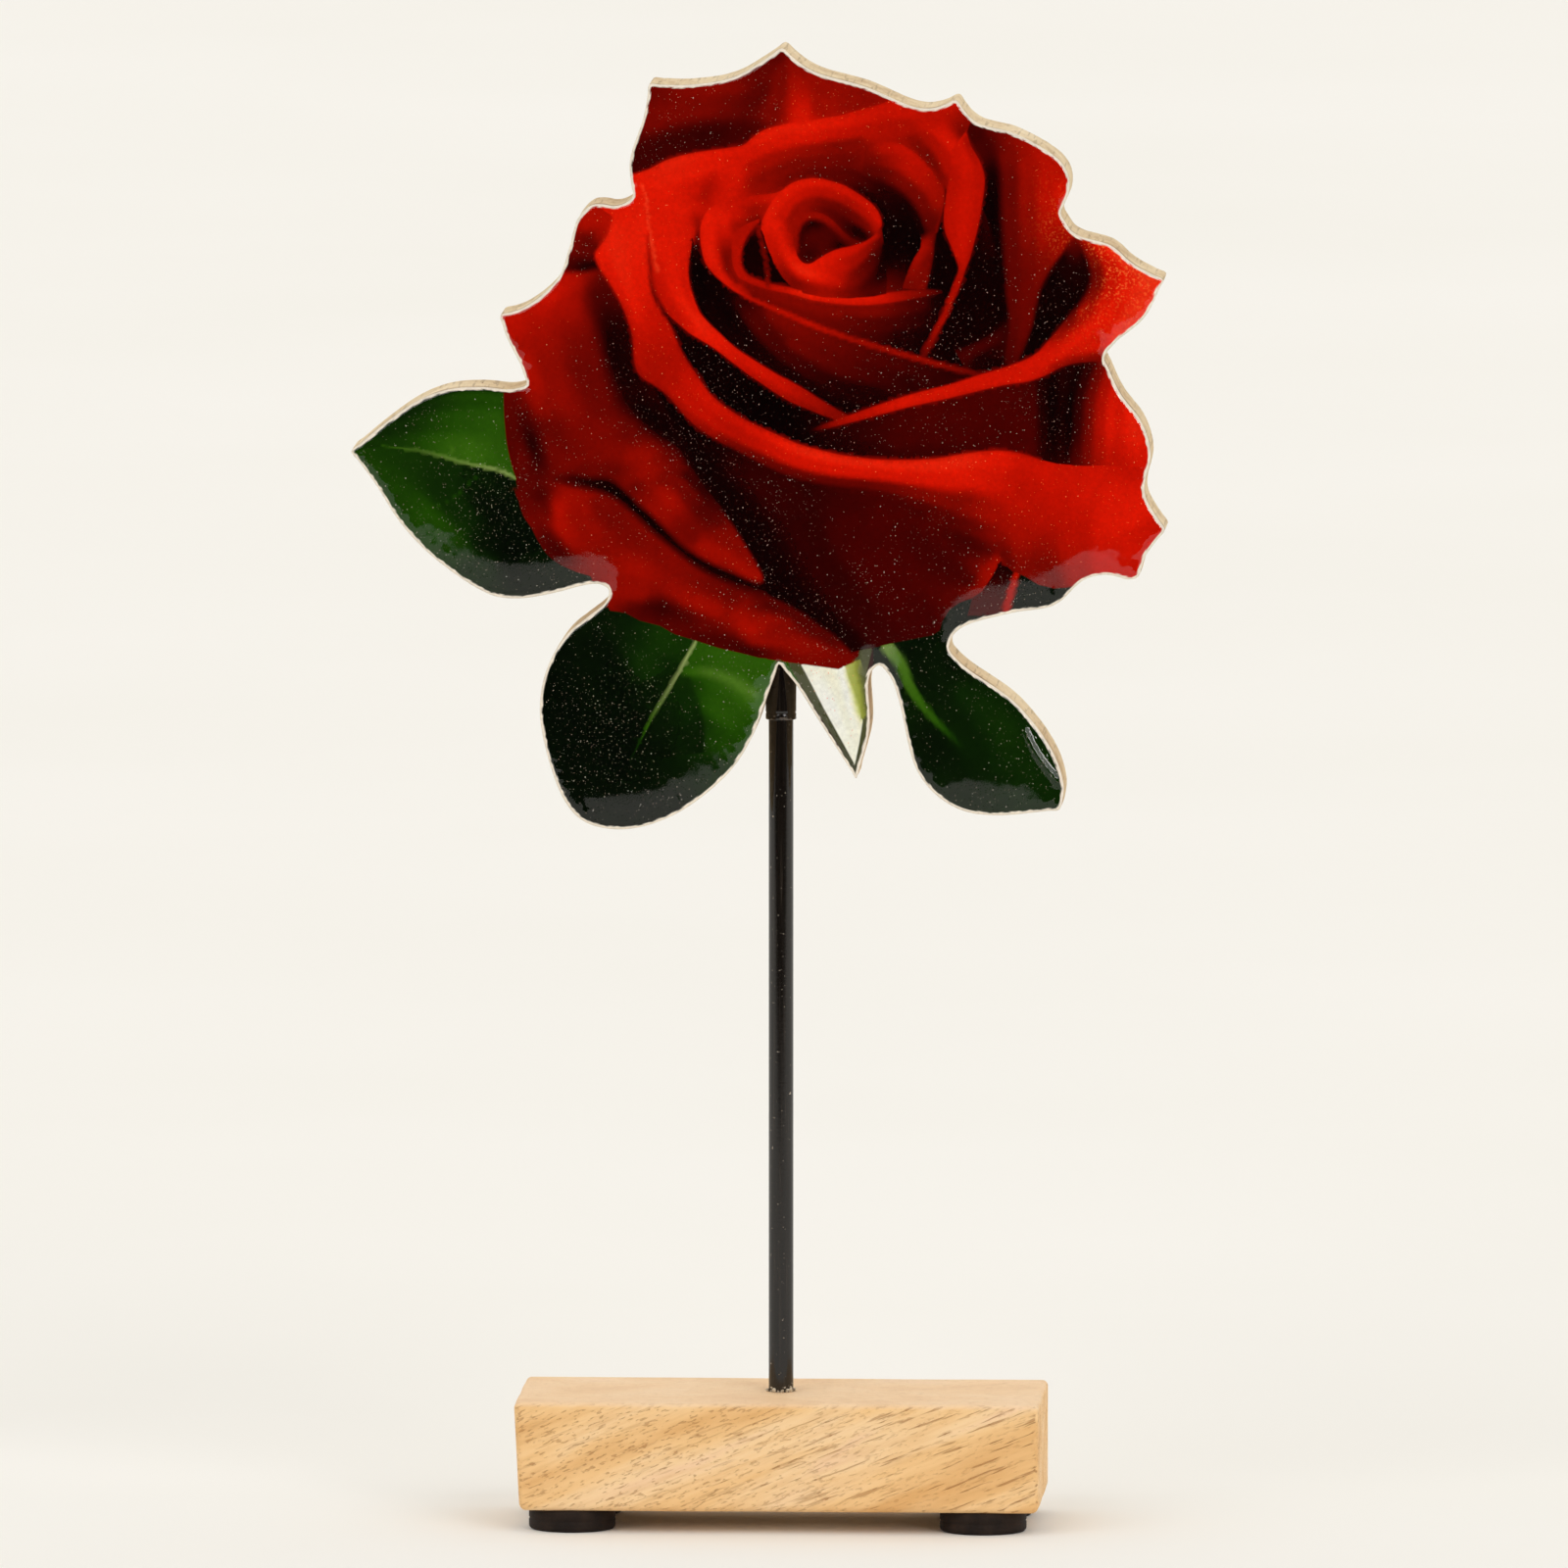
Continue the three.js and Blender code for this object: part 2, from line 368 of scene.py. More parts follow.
class Tree:
    """A node tree that grows by one node at a time."""

    def __init__(self, tree):
        self.tree = tree

    def add(self, kind, settings=None, sockets=None, out=0):
        """A new node, set and joined, as its output called out, or as a list where out has several names."""
        node = self.tree.nodes.new(kind)
        for name, value in (settings or {}).items():
            if name == "stops":
                stops = node.color_ramp.elements
                while len(stops) < len(value):
                    stops.new(1.0)
                for stop, (place, colour) in zip(stops, value):
                    stop.position = place
                    stop.color = (*colour, 1.0)
            else:
                setattr(node, name, value)
        for key, value in (sockets or {}).items():
            if isinstance(value, Socket):
                self.tree.links.new(value.socket, node.inputs[key])
            else:
                node.inputs[key].default_value = value
        if isinstance(out, tuple):
            return [Socket(self, node.outputs[name]) for name in out]
        return Socket(self, node.outputs[out]) if out is not None else None

    def place(self):
        """Where a point of the piece is in the frame, in metres."""
        return self.add("ShaderNodeTexCoord", out="Object")

    def along(self, at, axes):
        """One part of a place, or several of them."""
        return self.add("ShaderNodeSeparateXYZ", {}, {"Vector": at}, axes)

    def carried(self, name, out="Fac"):
        """What the piece's points carry under this name."""
        return self.add("ShaderNodeAttribute", {"attribute_name": name}, out=out)

    def noise(self, at, scale, detail=2.0, rough=0.5, warp=0.0):
        """Noise with this many waves in a metre, or so many along each axis."""
        if isinstance(scale, tuple):
            at = self.add("ShaderNodeVectorMath", {"operation": "MULTIPLY"}, {0: at, 1: scale})
            scale = 1.0
        sockets = {"Vector": at, "Scale": scale, "Detail": detail, "Roughness": rough, "Distortion": warp}
        return self.add("ShaderNodeTexNoise", {}, sockets)

    def between(self, value, low, high):
        """0 where value is below low, 1 where it is above high, and a smooth step between them."""
        settings = {"interpolation_type": "SMOOTHSTEP"}
        return self.add("ShaderNodeMapRange", settings, {"Value": value, "From Min": low, "From Max": high})

    def ramp(self, value, stops):
        return self.add("ShaderNodeValToRGB", {"stops": stops}, {"Fac": value})

    def mix(self, share, first, second, kind="MIX"):
        """A mix of two colours. Its sockets go by number, because several share a name."""
        settings = {"data_type": "RGBA", "blend_type": kind}
        return self.add("ShaderNodeMix", settings, {0: share, 6: first, 7: second}, 2)

    def bump(self, height, distance, strength):
        return self.add("ShaderNodeBump", {}, {"Strength": strength, "Distance": distance, "Height": height})

    def surface(self, shader, kind="ShaderNodeOutputMaterial"):
        self.add(kind, {}, {"Surface": shader}, out=None)

    def solid(self, **sockets):
        """A plain solid surface. Its sockets are named as the shader names them, with _ for a space."""
        sockets = {name.replace("_", " "): value for name, value in sockets.items()}
        self.surface(self.add("ShaderNodeBsdfPrincipled", {}, sockets))


def emptied(owner):
    """The node tree of a material or a world, with nothing in it."""
    owner.use_nodes = True
    owner.node_tree.nodes.clear()
    return Tree(owner.node_tree)


def new_finish(name):
    """A new material and its node tree."""
    material = bpy.data.materials.new(name)
    return material, emptied(material)


def linear(screen):
    """Values from 0 to 1 as a screen shows them, as linear light."""
    return np.where(screen <= 0.04045, screen / 12.92, ((screen + 0.055) / 1.055) ** 2.4)


def light(red, green, blue):
    """A colour as it looks on a screen, from 0 to 255, as linear light."""
    return tuple(linear(np.array((red, green, blue)) / 255))


def shown(red, green, blue):
    return (*light(red, green, blue), 1.0)


# The printed rose: a painter's layers from the back to the front, in mm from the notch. The inks go by tone.
RED = [(0, (9, 1, 1)), (0.08, (30, 1, 1)), (0.18, (66, 2, 1)), (0.4, (112, 7, 1)), (0.6, (152, 12, 1)),
       (0.8, (188, 16, 1)), (1.0, (220, 24, 3)), (1.2, (240, 62, 30))]
GREEN = [(0, (3, 7, 3)), (0.2, (12, 34, 4)), (0.5, (30, 68, 4)), (0.8, (53, 96, 13)), (1.0, (84, 118, 40)),
         (1.3, (146, 162, 96))]
OLIVE = [(0, (40, 42, 22)), (0.3, (84, 86, 56)), (0.6, (140, 148, 60)), (0.8, (196, 200, 120)),
         (1.0, (246, 241, 232))]
GROUND = np.array([0.12])
SHADE_STEP = 1.5
SHADE_FALL = 3.0
VEIN_REACH = 3.0
layers = []


def petal(edge, hidden, lines, soft=0.0, inks=RED, blur=0.5):
    """A petal or leaf: its visible edge, the corners that close it out of sight, and its shade lines."""
    run = smooth(edge)
    loop = np.vstack([run, np.array(hidden, float)])
    layers.append({"edge": run, "loop": loop, "lines": lines, "soft": soft, "inks": inks, "blur": blur})


def vein(path, width, inks=RED, soft=0.25):
    """A thin line of (across, up, tone), as wide as width says at its start and at its end."""
    run = smooth(path)
    wide = np.linspace(width[0], width[1], len(run))
    layers.append({"path": np.column_stack([run, wide]), "soft": soft, "inks": inks})


def inked(inks, tone):
    """The colour of each tone, as linear light."""
    stops = [stop for stop, _ in inks]
    return linear(np.stack([np.interp(tone, stops, [ink[k] / 255 for _, ink in inks]) for k in range(3)], -1))


def shade(lines, at, blur):
    """The tone at each point: a mean of the shade lines, in which near ones count most."""
    total = np.zeros(len(at))
    weight = np.zeros(len(at))
    for line in lines:
        path = smooth(line, SHADE_STEP) if len(line) > 1 else np.array(line * 2, float)
        gap, tone = nearest(path, at)
        share = (gap + blur) ** -SHADE_FALL
        total += share * tone[:, 0]
        weight += share
    return total / weight


def painted(at):
    """The colours, as linear light, of points of the picture."""
    colour = np.tile(inked(RED, GROUND), (len(at), 1))
    for layer in layers:
        soft = layer["soft"]
        rim = layer["path"][:, :2] if "path" in layer else layer["loop"]
        reach = VEIN_REACH if "path" in layer else soft
        near = np.flatnonzero((at > rim.min(0) - reach).all(1) & (at < rim.max(0) + reach).all(1))
        if "path" in layer:
            gap, value = nearest(layer["path"], at[near])
            cover = np.clip((value[:, 1] / 2 + soft / 2 - gap) / soft, 0, 1)
            tone = value[:, 0]
        else:
            within = inside(rim, at[near])
            cover = within.astype(float)
            if soft:
                gap = nearest(layer["edge"], at[near])[0]
                cover = eased(0.5 + np.where(within, gap, -gap) / (2 * soft))
                cover[~within & (gap_to(rim, at[near]) < gap - TINY)] = 0
            near, cover = near[cover > 0], cover[cover > 0]
            tone = shade(layer["lines"], at[near], layer["blur"])
        colour[near] += cover[:, None] * (inked(layer["inks"], tone) - colour[near])
    return colour


# Left leaf: its lower half, its upper half and the rib between them
petal([(-90, 60), (-40, 60)], [(-40, 8), (-90, 8)],
      [[(-80, 41.5, 0.36), (-72, 41, 0.3), (-64, 38.8, 0.2), (-56, 36.5, 0.1)],
       [(-82, 39.5, 0.42), (-76, 34, 0.42), (-71, 30, 0.5), (-66, 25, 0.42), (-61, 20, 0.22)],
       [(-66, 33, 0.26), (-62, 34, 0.12), (-57, 31, 0.04)], [(-70, 37, 0.24), (-64, 30, 0.22)],
       [(-60, 24, 0.1), (-55, 24, 0.03), (-50, 19, 0.06), (-44, 19, 0.1)]], inks=GREEN)
petal([(-86, 42.6), (-79, 43.6), (-72.7, 42.85), (-67.4, 41.5), (-62.7, 40.2), (-56.4, 38.9), (-53, 37.4)],
      [(-50, 60), (-90, 60)],
      [[(-84, 43.6, 0.3), (-76, 44.5, 0.36), (-69, 44, 0.62), (-63, 43, 0.76), (-56, 41, 0.66)],
       [(-80, 46.5, 0.22), (-74, 48.5, 0.3), (-66, 49, 0.52), (-57, 49, 0.62)],
       [(-76, 50, 0.16), (-70, 53, 0.3), (-63, 54, 0.48), (-56, 53.5, 0.5)],
       [(-72, 53.3, 0.05), (-64, 55.8, 0.12), (-55, 56, 0.2)]], inks=GREEN)
vein([(-80, 43.7, 0.7), (-72.7, 42.85, 1.0), (-67.4, 41.5, 1.05), (-62.7, 40.2, 1.1), (-56.4, 38.9, 1.2),
      (-53, 37.3, 1.15)], (0.15, 0.6), GREEN)
vein([(-66, 41, 1.0), (-66, 43.6, 0.85), (-67, 46, 0.6)], (0.35, 0.1), GREEN)
vein([(-59.6, 39.6, 1.0), (-60, 42.5, 0.8), (-61.5, 45.5, 0.65)], (0.3, 0.1), GREEN)
vein([(-61, 37.5, 0.4), (-66, 33, 0.5), (-70, 31, 0.55)], (0.3, 0.1), GREEN)

# Lower left leaf: its dark half, its lit half and the rib between them
petal([(-52, 22), (4, 22)], [(4, -38), (-52, -38)],
      [[(-46, 0, 0.04), (-44, -12, 0.03), (-40, -24, 0.04), (-30, -31, 0.05)],
       [(-34, 10, 0.1), (-30, 6, 0.16), (-24, 5, 0.3), (-19, 3, 0.3)],
       [(-26, 0, 0.26), (-22, -1, 0.2), (-24, -6, 0.12)],
       [(-36, 2, 0.06), (-32, -8, 0.05), (-31, -18, 0.03)]], inks=GREEN)
petal([(-16.5, 5.5), (-18, 2), (-20, -1.6), (-24, -8.3), (-27.6, -15), (-30, -19.5), (-32, -25)],
      [(-30, -36), (4, -36), (4, 8)],
      [[(-15, 3, 0.62), (-9, 1.5, 0.68), (-4, -2, 0.66)], [(-16, -1, 0.58), (-10, -3, 0.7), (-5, -7, 0.74)],
       [(-18.5, -5, 0.3), (-14, -7, 0.56), (-10, -10, 0.62), (-7, -13, 0.5)],
       [(-23, -11, 0.14), (-17, -13, 0.26), (-11, -16, 0.44)],
       [(-28, -21, 0.05), (-20, -22, 0.12), (-13, -21, 0.22)], [(-30, -29, 0.04), (-22, -28, 0.06)]],
      inks=GREEN)
petal([(-19.4, -0.6), (-17.4, -4.4), (-15.8, -8.6), (-15, -13), (-15, -18)], [(-30, -20), (-24, -8.3)],
      [[(-20, -4, 0.26), (-22, -9, 0.16), (-26, -16, 0.06)], [(-17.6, -8, 0.24), (-17, -14, 0.14)]],
      soft=0.5, inks=GREEN)
# Pale curved band on the lit half: a painted reflection of the resin, laid into the green ink
vein([(-19, -1.7, 0.7), (-15, -1.6, 0.9), (-10, -3.2, 0.92), (-5.4, -6, 0.92)], (1.0, 2.4), GREEN, soft=1.6)
vein([(-16.6, 4.8, 1.25), (-20, -1.6, 1.3), (-24, -8.3, 1.15), (-27.6, -15, 0.6), (-30, -19.5, 0.2)],
     (0.42, 0.14), GREEN)

# Right leaf with its light stem, and the dark leaf under the right petals
petal([(19, 14), (40, 26), (80, 26)], [(70, -40), (19, -40)],
      [[(27, 2, 0.08), (32, -6, 0.12), (38, -16, 0.16)], [(38, -6, 0.2), (45, -12, 0.26), (50, -19, 0.22)],
       [(36, 1, 0.08), (44, -4, 0.18), (52, -13, 0.2)], [(28, -10, 0.14), (31, -16, 0.08), (36, -21, 0.12)],
       [(48, 14, 0.04), (56, 14, 0.06)], [(40, 8, 0.04), (45.4, 20, 0.02)]], inks=GREEN)
vein([(22, 3.4, 1.1), (24.3, 0.6, 0.94), (26.8, -5.1, 0.84), (31, -10.7, 0.7), (34.4, -14.1, 0.44),
      (37.7, -17.5, 0.14)], (2.6, 0.6), GREEN, soft=0.6)
petal([(44.8, 21.4), (46, 20), (47.4, 18.4), (47, 16), (46, 13), (45.6, 10)],
      [(38, 10), (39, 13.6), (41, 15), (43, 18)],
      [[(45, 19.6, 0.08), (44.8, 16.6, 0.14), (43, 13.6, 0.18)]], soft=0.5)
vein([(48, 18.9, 0.74), (47.4, 16.6, 0.7), (46.6, 14, 0.66), (45.9, 11.3, 0.6), (45.6, 9, 0.5)],
     (1.1, 1.7), soft=0.4)

# Sepals round the white gap
petal([(0.6, 3), (3, -2), (8, -10), (12.4, -17), (15.5, -23.5)],
      [(17.4, -18), (18.6, -9), (17.6, -2), (19, 4)],
      [[(4, 0, 0.22), (9, -9.6, 0.2), (15, -21.4, 0.12)], [(17.4, -10, 0.3), (16.4, -19, 0.18)],
       [(18, 2, 0.2), (17.6, -4, 0.32)]], inks=OLIVE)
petal([(3.5, 1.5), (5.6, -2.2), (9, -8.8), (12.2, -14.6), (15.3, -20.3)],
      [(16.2, -16), (16.9, -11.6), (16.6, -7), (15.4, -3), (14.6, 2)],
      [[(5, 0, 0.98), (10, -8, 1.0), (15, -19, 0.98)],
       [(12.5, -1, 1.0), (14.2, -8, 1.0), (15.4, -14, 0.98)],
       [(14.4, -2, 0.8), (15.6, -5, 0.74), (16.6, -9, 0.74)]], soft=0.15, inks=OLIVE)
petal([(13.2, 0), (14.2, -3), (15.4, -6), (16.3, -9), (16.5, -11.4)],
      [(17.8, -10), (18, -6), (17.4, -2), (16.4, 1)],
      [[(13.8, -1, 0.72), (15.6, -5, 0.66), (16.6, -10, 0.62)], [(17.6, -2, 0.3), (18, -9, 0.36)]],
      soft=0.3, inks=OLIVE)

# Lower left rim and foot of the flower, which two petals share
LEFT_RIM = [(-52.3, 32), (-51.4, 29.5), (-50, 27.4), (-48.4, 24.4), (-46.8, 22), (-44.6, 20.2), (-41, 18.5),
            (-38, 17.6)]
LEFT_FOOT = [(-34, 10.6), (-31, 10.2), (-28, 8.6), (-24, 7.6), (-21, 5.9), (-17, 4.7), (-12, 3.1),
             (-8, 2.2), (-4, 1.2)]

# Outer left petal, down to the fold in the lower left
petal([(-55.5, 57), (-55.4, 50), (-54.8, 44), (-53.9, 40), (-53, 37), *LEFT_RIM],
      [*LEFT_FOOT, (0, 0.9), (8, 0.9), (13, -0.4), (16, 1.6), (20, 20), (0, 60), (-30, 96), (-60, 96)],
      [[(-53, 70, 0.76), (-49, 68, 0.66), (-47, 60, 0.52), (-44, 54, 0.54), (-40, 48, 0.44)],
       [(-50, 71.4, 0.74), (-46, 74.6, 0.84), (-43, 77, 0.74)],
       [(-51, 60, 0.7), (-49, 56, 0.64), (-48, 52, 0.52)],
       [(-43, 72, 0.66), (-40, 66, 0.44), (-38, 59, 0.36), (-36, 53, 0.36)],
       [(-36, 74, 0.2), (-33.8, 68, 0.08), (-32.4, 62, 0.05), (-30.8, 57.5, 0.05)],
       [(-29.6, 54, 0.06), (-26.4, 50.4, 0.02), (-22.6, 47, 0.03), (-18.6, 43, 0.04), (-15.5, 38, 0.02)],
       [(-54.6, 52, 0.3), (-53.4, 46, 0.26), (-51.6, 40, 0.3)],
       [(-51.5, 49, 0.2), (-50, 45, 0.1), (-48.6, 41, 0.14)],
       [(-46, 46, 0.34), (-44, 41, 0.4), (-38, 42, 0.42), (-33, 43, 0.46)],
       [(-36, 47.5, 0.44), (-31, 46.4, 0.36)], [(-30, 42, 0.54), (-26, 42, 0.54), (-22, 42.4, 0.3)],
       [(-30.4, 37.4, 0.42), (-26, 39, 0.56), (-21, 40.4, 0.36)], [(-40, 39, 0.34), (-33, 38.8, 0.34)]],
      blur=0.9)

# Small petal at the upper left, above the dark gap
petal([(-46, 79.4), (-42, 79), (-39, 79), (-36.6, 79.6), (-33, 80)], [(-32, 96), (-46, 96)],
      [[(-43, 79.6, 0.2), (-38, 79.6, 0.06), (-36, 80.4, 0.08)],
       [(-41.6, 85, 0.42), (-39, 84, 0.32), (-37, 83.4, 0.3)],
       [(-39, 90, 0.7), (-35, 90, 0.7), (-34.6, 86, 0.62)]], soft=0.9)

# Petal below the fold
petal([(-53.4, 35), (-46, 36.6), (-41, 35.2), (-37, 34.4), (-34, 33.6), (-31.4, 31.6), (-28.8, 29),
       (-26, 26.4), (-23, 24), (-20, 21.6), (-17, 19.4), (-14, 17.6), (-10.6, 16), (-7, 14.2), (-3, 12.7),
       (1.4, 11.6), (4.6, 9.8), (8, 7.4), (11.4, 5.2), (14, 3.2), (15.4, 0.6)],
      [(12, -1), (0, 0.6), *LEFT_FOOT[::-1], *LEFT_RIM[::-1]],
      [[(-44.4, 31.5, 0.7), (-44, 28, 0.68), (-41, 24, 0.56)],
       [(-41, 32, 0.6), (-39, 28, 0.54), (-36, 24, 0.5)],
       [(-50.5, 31, 0.3), (-49, 28.4, 0.36), (-46.6, 25, 0.22), (-43.6, 21.6, 0.2), (-40, 19.4, 0.42)],
       [(-48, 33.6, 0.2), (-46.8, 30.4, 0.34)],
       [(-35.5, 31.6, 0.42), (-33, 29.4, 0.4), (-30, 26.8, 0.42), (-26, 24, 0.44), (-20, 19.6, 0.46),
        (-15, 16.6, 0.4), (-10, 14, 0.34)],
       [(-36, 20.4, 0.5), (-31, 19.6, 0.58), (-28, 18.6, 0.6), (-24, 16.4, 0.52), (-19, 13.4, 0.58),
        (-13, 11, 0.6)], [(-33, 15.6, 0.54), (-28, 14.4, 0.56)],
       [(-29, 10.4, 0.24), (-24, 11.2, 0.14), (-20, 9.6, 0.2), (-15, 7.4, 0.3)],
       [(-8, 9, 0.6), (-5.4, 6.8, 0.68), (-2.4, 8.6, 0.58), (1.4, 8.2, 0.5)],
       [(-5, 4.8, 0.56), (1, 4.2, 0.54), (7, 3.4, 0.5), (13, 1, 0.42)],
       [(-16, 5.6, 0.2), (-10, 4, 0.18), (-5, 2.4, 0.14), (1, 1.5, 0.36)],
       [(-2, 12, 0.24), (4, 9.4, 0.24), (11, 4.6, 0.24)]], soft=0.8, blur=0.8)

# Dark fold itself
petal([(-47, 37.6), (-42, 38.2), (-38, 37.6), (-34.6, 37.4), (-31.6, 35.6), (-28.4, 32.4), (-25.2, 29.6),
       (-22.2, 26.6), (-19.6, 24), (-16.4, 21.8), (-12.6, 19.8), (-8, 18), (-4, 16.6), (2, 16), (2, 13.4),
       (-3, 14.4), (-8, 15.9), (-13, 17.9), (-17, 20.2), (-21.4, 23.4), (-26, 27.2), (-30, 30.8),
       (-33.6, 33.6), (-38, 35.2), (-42, 36.2), (-46, 37)], [(-47, 37.4)],
      [[(-46, 37.4, 0.3), (-41, 36.9, 0.14), (-37, 36.2, 0.07), (-33, 34.8, 0.02), (-28, 30.6, 0.01),
        (-20, 23, 0.02), (-8, 16.8, 0.02), (2, 14.6, 0.03)]], soft=1.0)

# Lobe above the fold, with its tip to the right
petal([(-31.6, 36.2), (-28.4, 33), (-25.2, 30), (-22.2, 27), (-19.6, 24.4), (-16.6, 22.2), (-13.4, 20.4),
       (-10, 19), (-6.6, 17.4), (-4, 16.6), (-3, 17.2), (-3.8, 19.4), (-5.2, 22), (-7, 25), (-9, 27.8),
       (-11.2, 30.6), (-13.4, 33.4), (-15.6, 36.6), (-18.4, 40)], [(-21, 40.4), (-26, 39), (-30.4, 37.4)],
      [[(-30.4, 37.4, 0.42), (-26, 39, 0.56), (-21, 40.4, 0.36)],
       [(-29, 35.6, 0.36), (-27.4, 34, 0.44), (-25.4, 32, 0.54), (-23, 29.4, 0.54), (-20.4, 26.8, 0.42)],
       [(-23, 34.6, 0.6), (-21.6, 32.6, 0.62), (-19, 29, 0.44), (-17.6, 26, 0.4)],
       [(-23, 37, 0.44), (-20, 36.6, 0.42), (-17.6, 34, 0.34), (-15.4, 31, 0.26), (-13, 29, 0.28)],
       [(-15, 23.6, 0.6), (-11, 22, 0.58), (-7.6, 19.4, 0.6), (-4, 17.6, 0.6)],
       [(-12, 26, 0.46), (-8, 23.4, 0.48), (-5.2, 20.4, 0.5)],
       [(-18.6, 38, 0.16), (-15, 34.8, 0.14), (-12.6, 31.6, 0.2)]], soft=0.8)

# Line where the front rim passes into the front petal, with its tones
SEAM = [(26, 32.8, 0.22), (32, 30.8, 0.26), (36, 28.6, 0.26), (40, 27.4, 0.34), (44, 26.6, 0.5),
        (47, 28.4, 0.64), (50, 30, 0.72), (54, 30.4, 0.76), (60, 31, 0.82), (67, 31.4, 0.96),
        (76, 32, 0.98)]

# Front petal: dark face below a broad rolled rim, and the wide lit part to the right
petal([(-26, 57.5), (-22, 49.6), (-18.4, 43.6), (-15.5, 38), (-12.5, 33), (-9, 27.6), (-5.6, 22),
       (-3.4, 18), (-2.6, 14.4), (2, 11.8), (5, 10), (8.6, 7.4), (12, 5), (14.6, 2.4)],
      [(17, 3), (20, 3.6), (24, 4.6), (28, 5.4), (31, 6), (32.4, 7), (33, 9), (34.4, 11.2), (36.4, 12.6),
       (39, 13.6), (41, 15), (43, 18), (44.2, 20.6), (44.8, 21.2), (45.8, 20), (47.2, 19), (49.6, 18),
       (52.2, 16.4), (55.4, 15.6), (58, 15.8), (90, 10), (90, 62), (60, 45), (10, 50)],
      [[(-22, 50, 0.02), (-15, 40, 0.03), (-9.6, 32, 0.03), (-3.6, 22, 0.03), (0.6, 15, 0.03),
        (7, 9.6, 0.04), (14, 4.4, 0.06)],
       [(-8, 40, 0.11), (-2, 36, 0.13), (4, 30, 0.12), (8, 22, 0.12), (13, 13, 0.12), (20, 6, 0.15)],
       [(6, 36, 0.12), (14, 34.4, 0.15), (22, 33.4, 0.18), (29, 31, 0.18)],
       [(14, 26, 0.17), (19, 20, 0.18), (24, 14, 0.18), (29, 9, 0.16)],
       [(27, 26, 0.17), (33, 20, 0.17), (38, 17, 0.19)],
       [(34, 26.6, 0.18), (39, 24.4, 0.18), (42.4, 23, 0.26)],
       [(36, 13.4, 0.26), (40.4, 15.6, 0.5), (42.4, 18, 0.62), (44, 21.4, 0.6)], SEAM,
       [(48.6, 26.6, 0.66), (48.6, 24, 0.6), (48.4, 21, 0.5)], [(45, 22.4, 0.3), (46.4, 20.8, 0.34)],
       [(53, 37, 0.82), (53, 30, 0.76), (53.6, 25, 0.6), (53, 20.6, 0.44), (55, 17, 0.42)],
       [(60, 37, 0.9), (60.6, 30, 0.8), (60, 24, 0.72), (60, 19, 0.62)],
       [(67, 38, 0.86), (67, 31, 0.98), (66, 25, 0.88), (66, 20, 0.8)],
       [(73, 38, 0.82), (72, 32, 1.0), (75, 28.6, 0.84), (71, 23, 0.86), (72, 19, 0.8)],
       [(49.4, 40, 0.84), (49, 35, 0.78)]], soft=0.6, blur=0.6)

# Dark space between the front rim and the petals above it
petal([(-29, 75), (-25.4, 70), (-22.4, 66), (-20.6, 61), (-18, 56), (-12, 51.4), (-8, 48.6), (-4, 46.6),
       (0, 44.8), (4, 43.2), (8, 42), (13, 41), (20, 40.4), (30, 40.4), (38, 41.4), (46, 42), (56, 40.4)],
      [(58, 62), (30, 56), (0, 62), (-20, 76)],
      [[(-22, 69, 0.12), (-19, 65, 0.03), (-16, 62, 0.02), (-8, 56, 0.01), (0, 50, 0.0), (5, 46.6, 0.02),
        (10, 44.4, 0.06), (22, 42.4, 0.13), (34, 43, 0.16), (44, 44.4, 0.18)],
       [(8, 46.8, 0.08), (16, 47.4, 0.12), (28, 49, 0.19), (40, 52, 0.2), (50, 54, 0.18)],
       [(24, 45, 0.17), (36, 47, 0.19), (48, 48, 0.19), (51, 45, 0.19)]], soft=0.3)

# Far right petal below the tip: black at its foot, bright at its edge
petal([(51, 63), (51.4, 56), (51.6, 50), (51.4, 45), (51, 40.6)],
      [(72, 40.2), (90, 40.2), (90, 64), (60, 64)],
      [[(51, 58, 0.18), (51.4, 50, 0.18), (51.4, 43, 0.19)],
       [(52.8, 58, 0.09), (53, 50, 0.09), (53, 43, 0.1)],
       [(54.8, 59, 0.03), (55, 51, 0.01), (55, 43, 0.05)],
       [(60.6, 61, 0.03), (58.8, 54, 0.01), (58.4, 47, 0.02), (58, 42.4, 0.08)],
       [(63, 61, 0.1), (60.8, 54, 0.12), (60.4, 47, 0.13), (60, 42.2, 0.2)],
       [(65, 61, 0.36), (62.8, 54, 0.38), (62.4, 47, 0.42), (62, 42.2, 0.42)],
       [(67, 60.6, 0.66), (64.8, 54, 0.7), (64.4, 47, 0.74), (64.2, 42, 0.66)],
       [(69, 59, 0.88), (67, 54, 0.94), (66.6, 47, 0.97), (66.4, 42, 0.82)],
       [(72, 56, 0.98), (71.4, 50, 1.04), (72, 45, 1.02), (72.4, 41.6, 0.9)]], soft=0.9, blur=1.0)

# Back petal at the top
petal([(-36, 128), (42, 128)], [(42, 98), (-36, 95)],
      [[(-25, 116, 0.36), (-18, 116.4, 0.48), (-10, 117, 0.48), (-5, 118.8, 0.34), (0, 122.5, 0.3)],
       [(-26, 110, 0.42), (-20, 112, 0.44), (-12, 113, 0.4), (-6, 113, 0.28), (-3, 116, 0.28)],
       [(-29, 102, 0.16), (-22, 105, 0.16), (-14, 107, 0.14), (-8, 107.6, 0.17), (-5, 108.4, 0.22)],
       [(-2, 111, 0.42), (-0.6, 115, 0.46), (1, 120, 0.42)],
       [(4.6, 110.6, 0.92), (4.2, 113.4, 0.84), (3.4, 117, 0.66), (2.6, 121, 0.5)],
       [(9, 112.6, 0.6), (9, 116, 0.56), (8, 119, 0.58)],
       [(14, 113.4, 0.54), (19, 115, 0.52), (24, 115, 0.6)]])

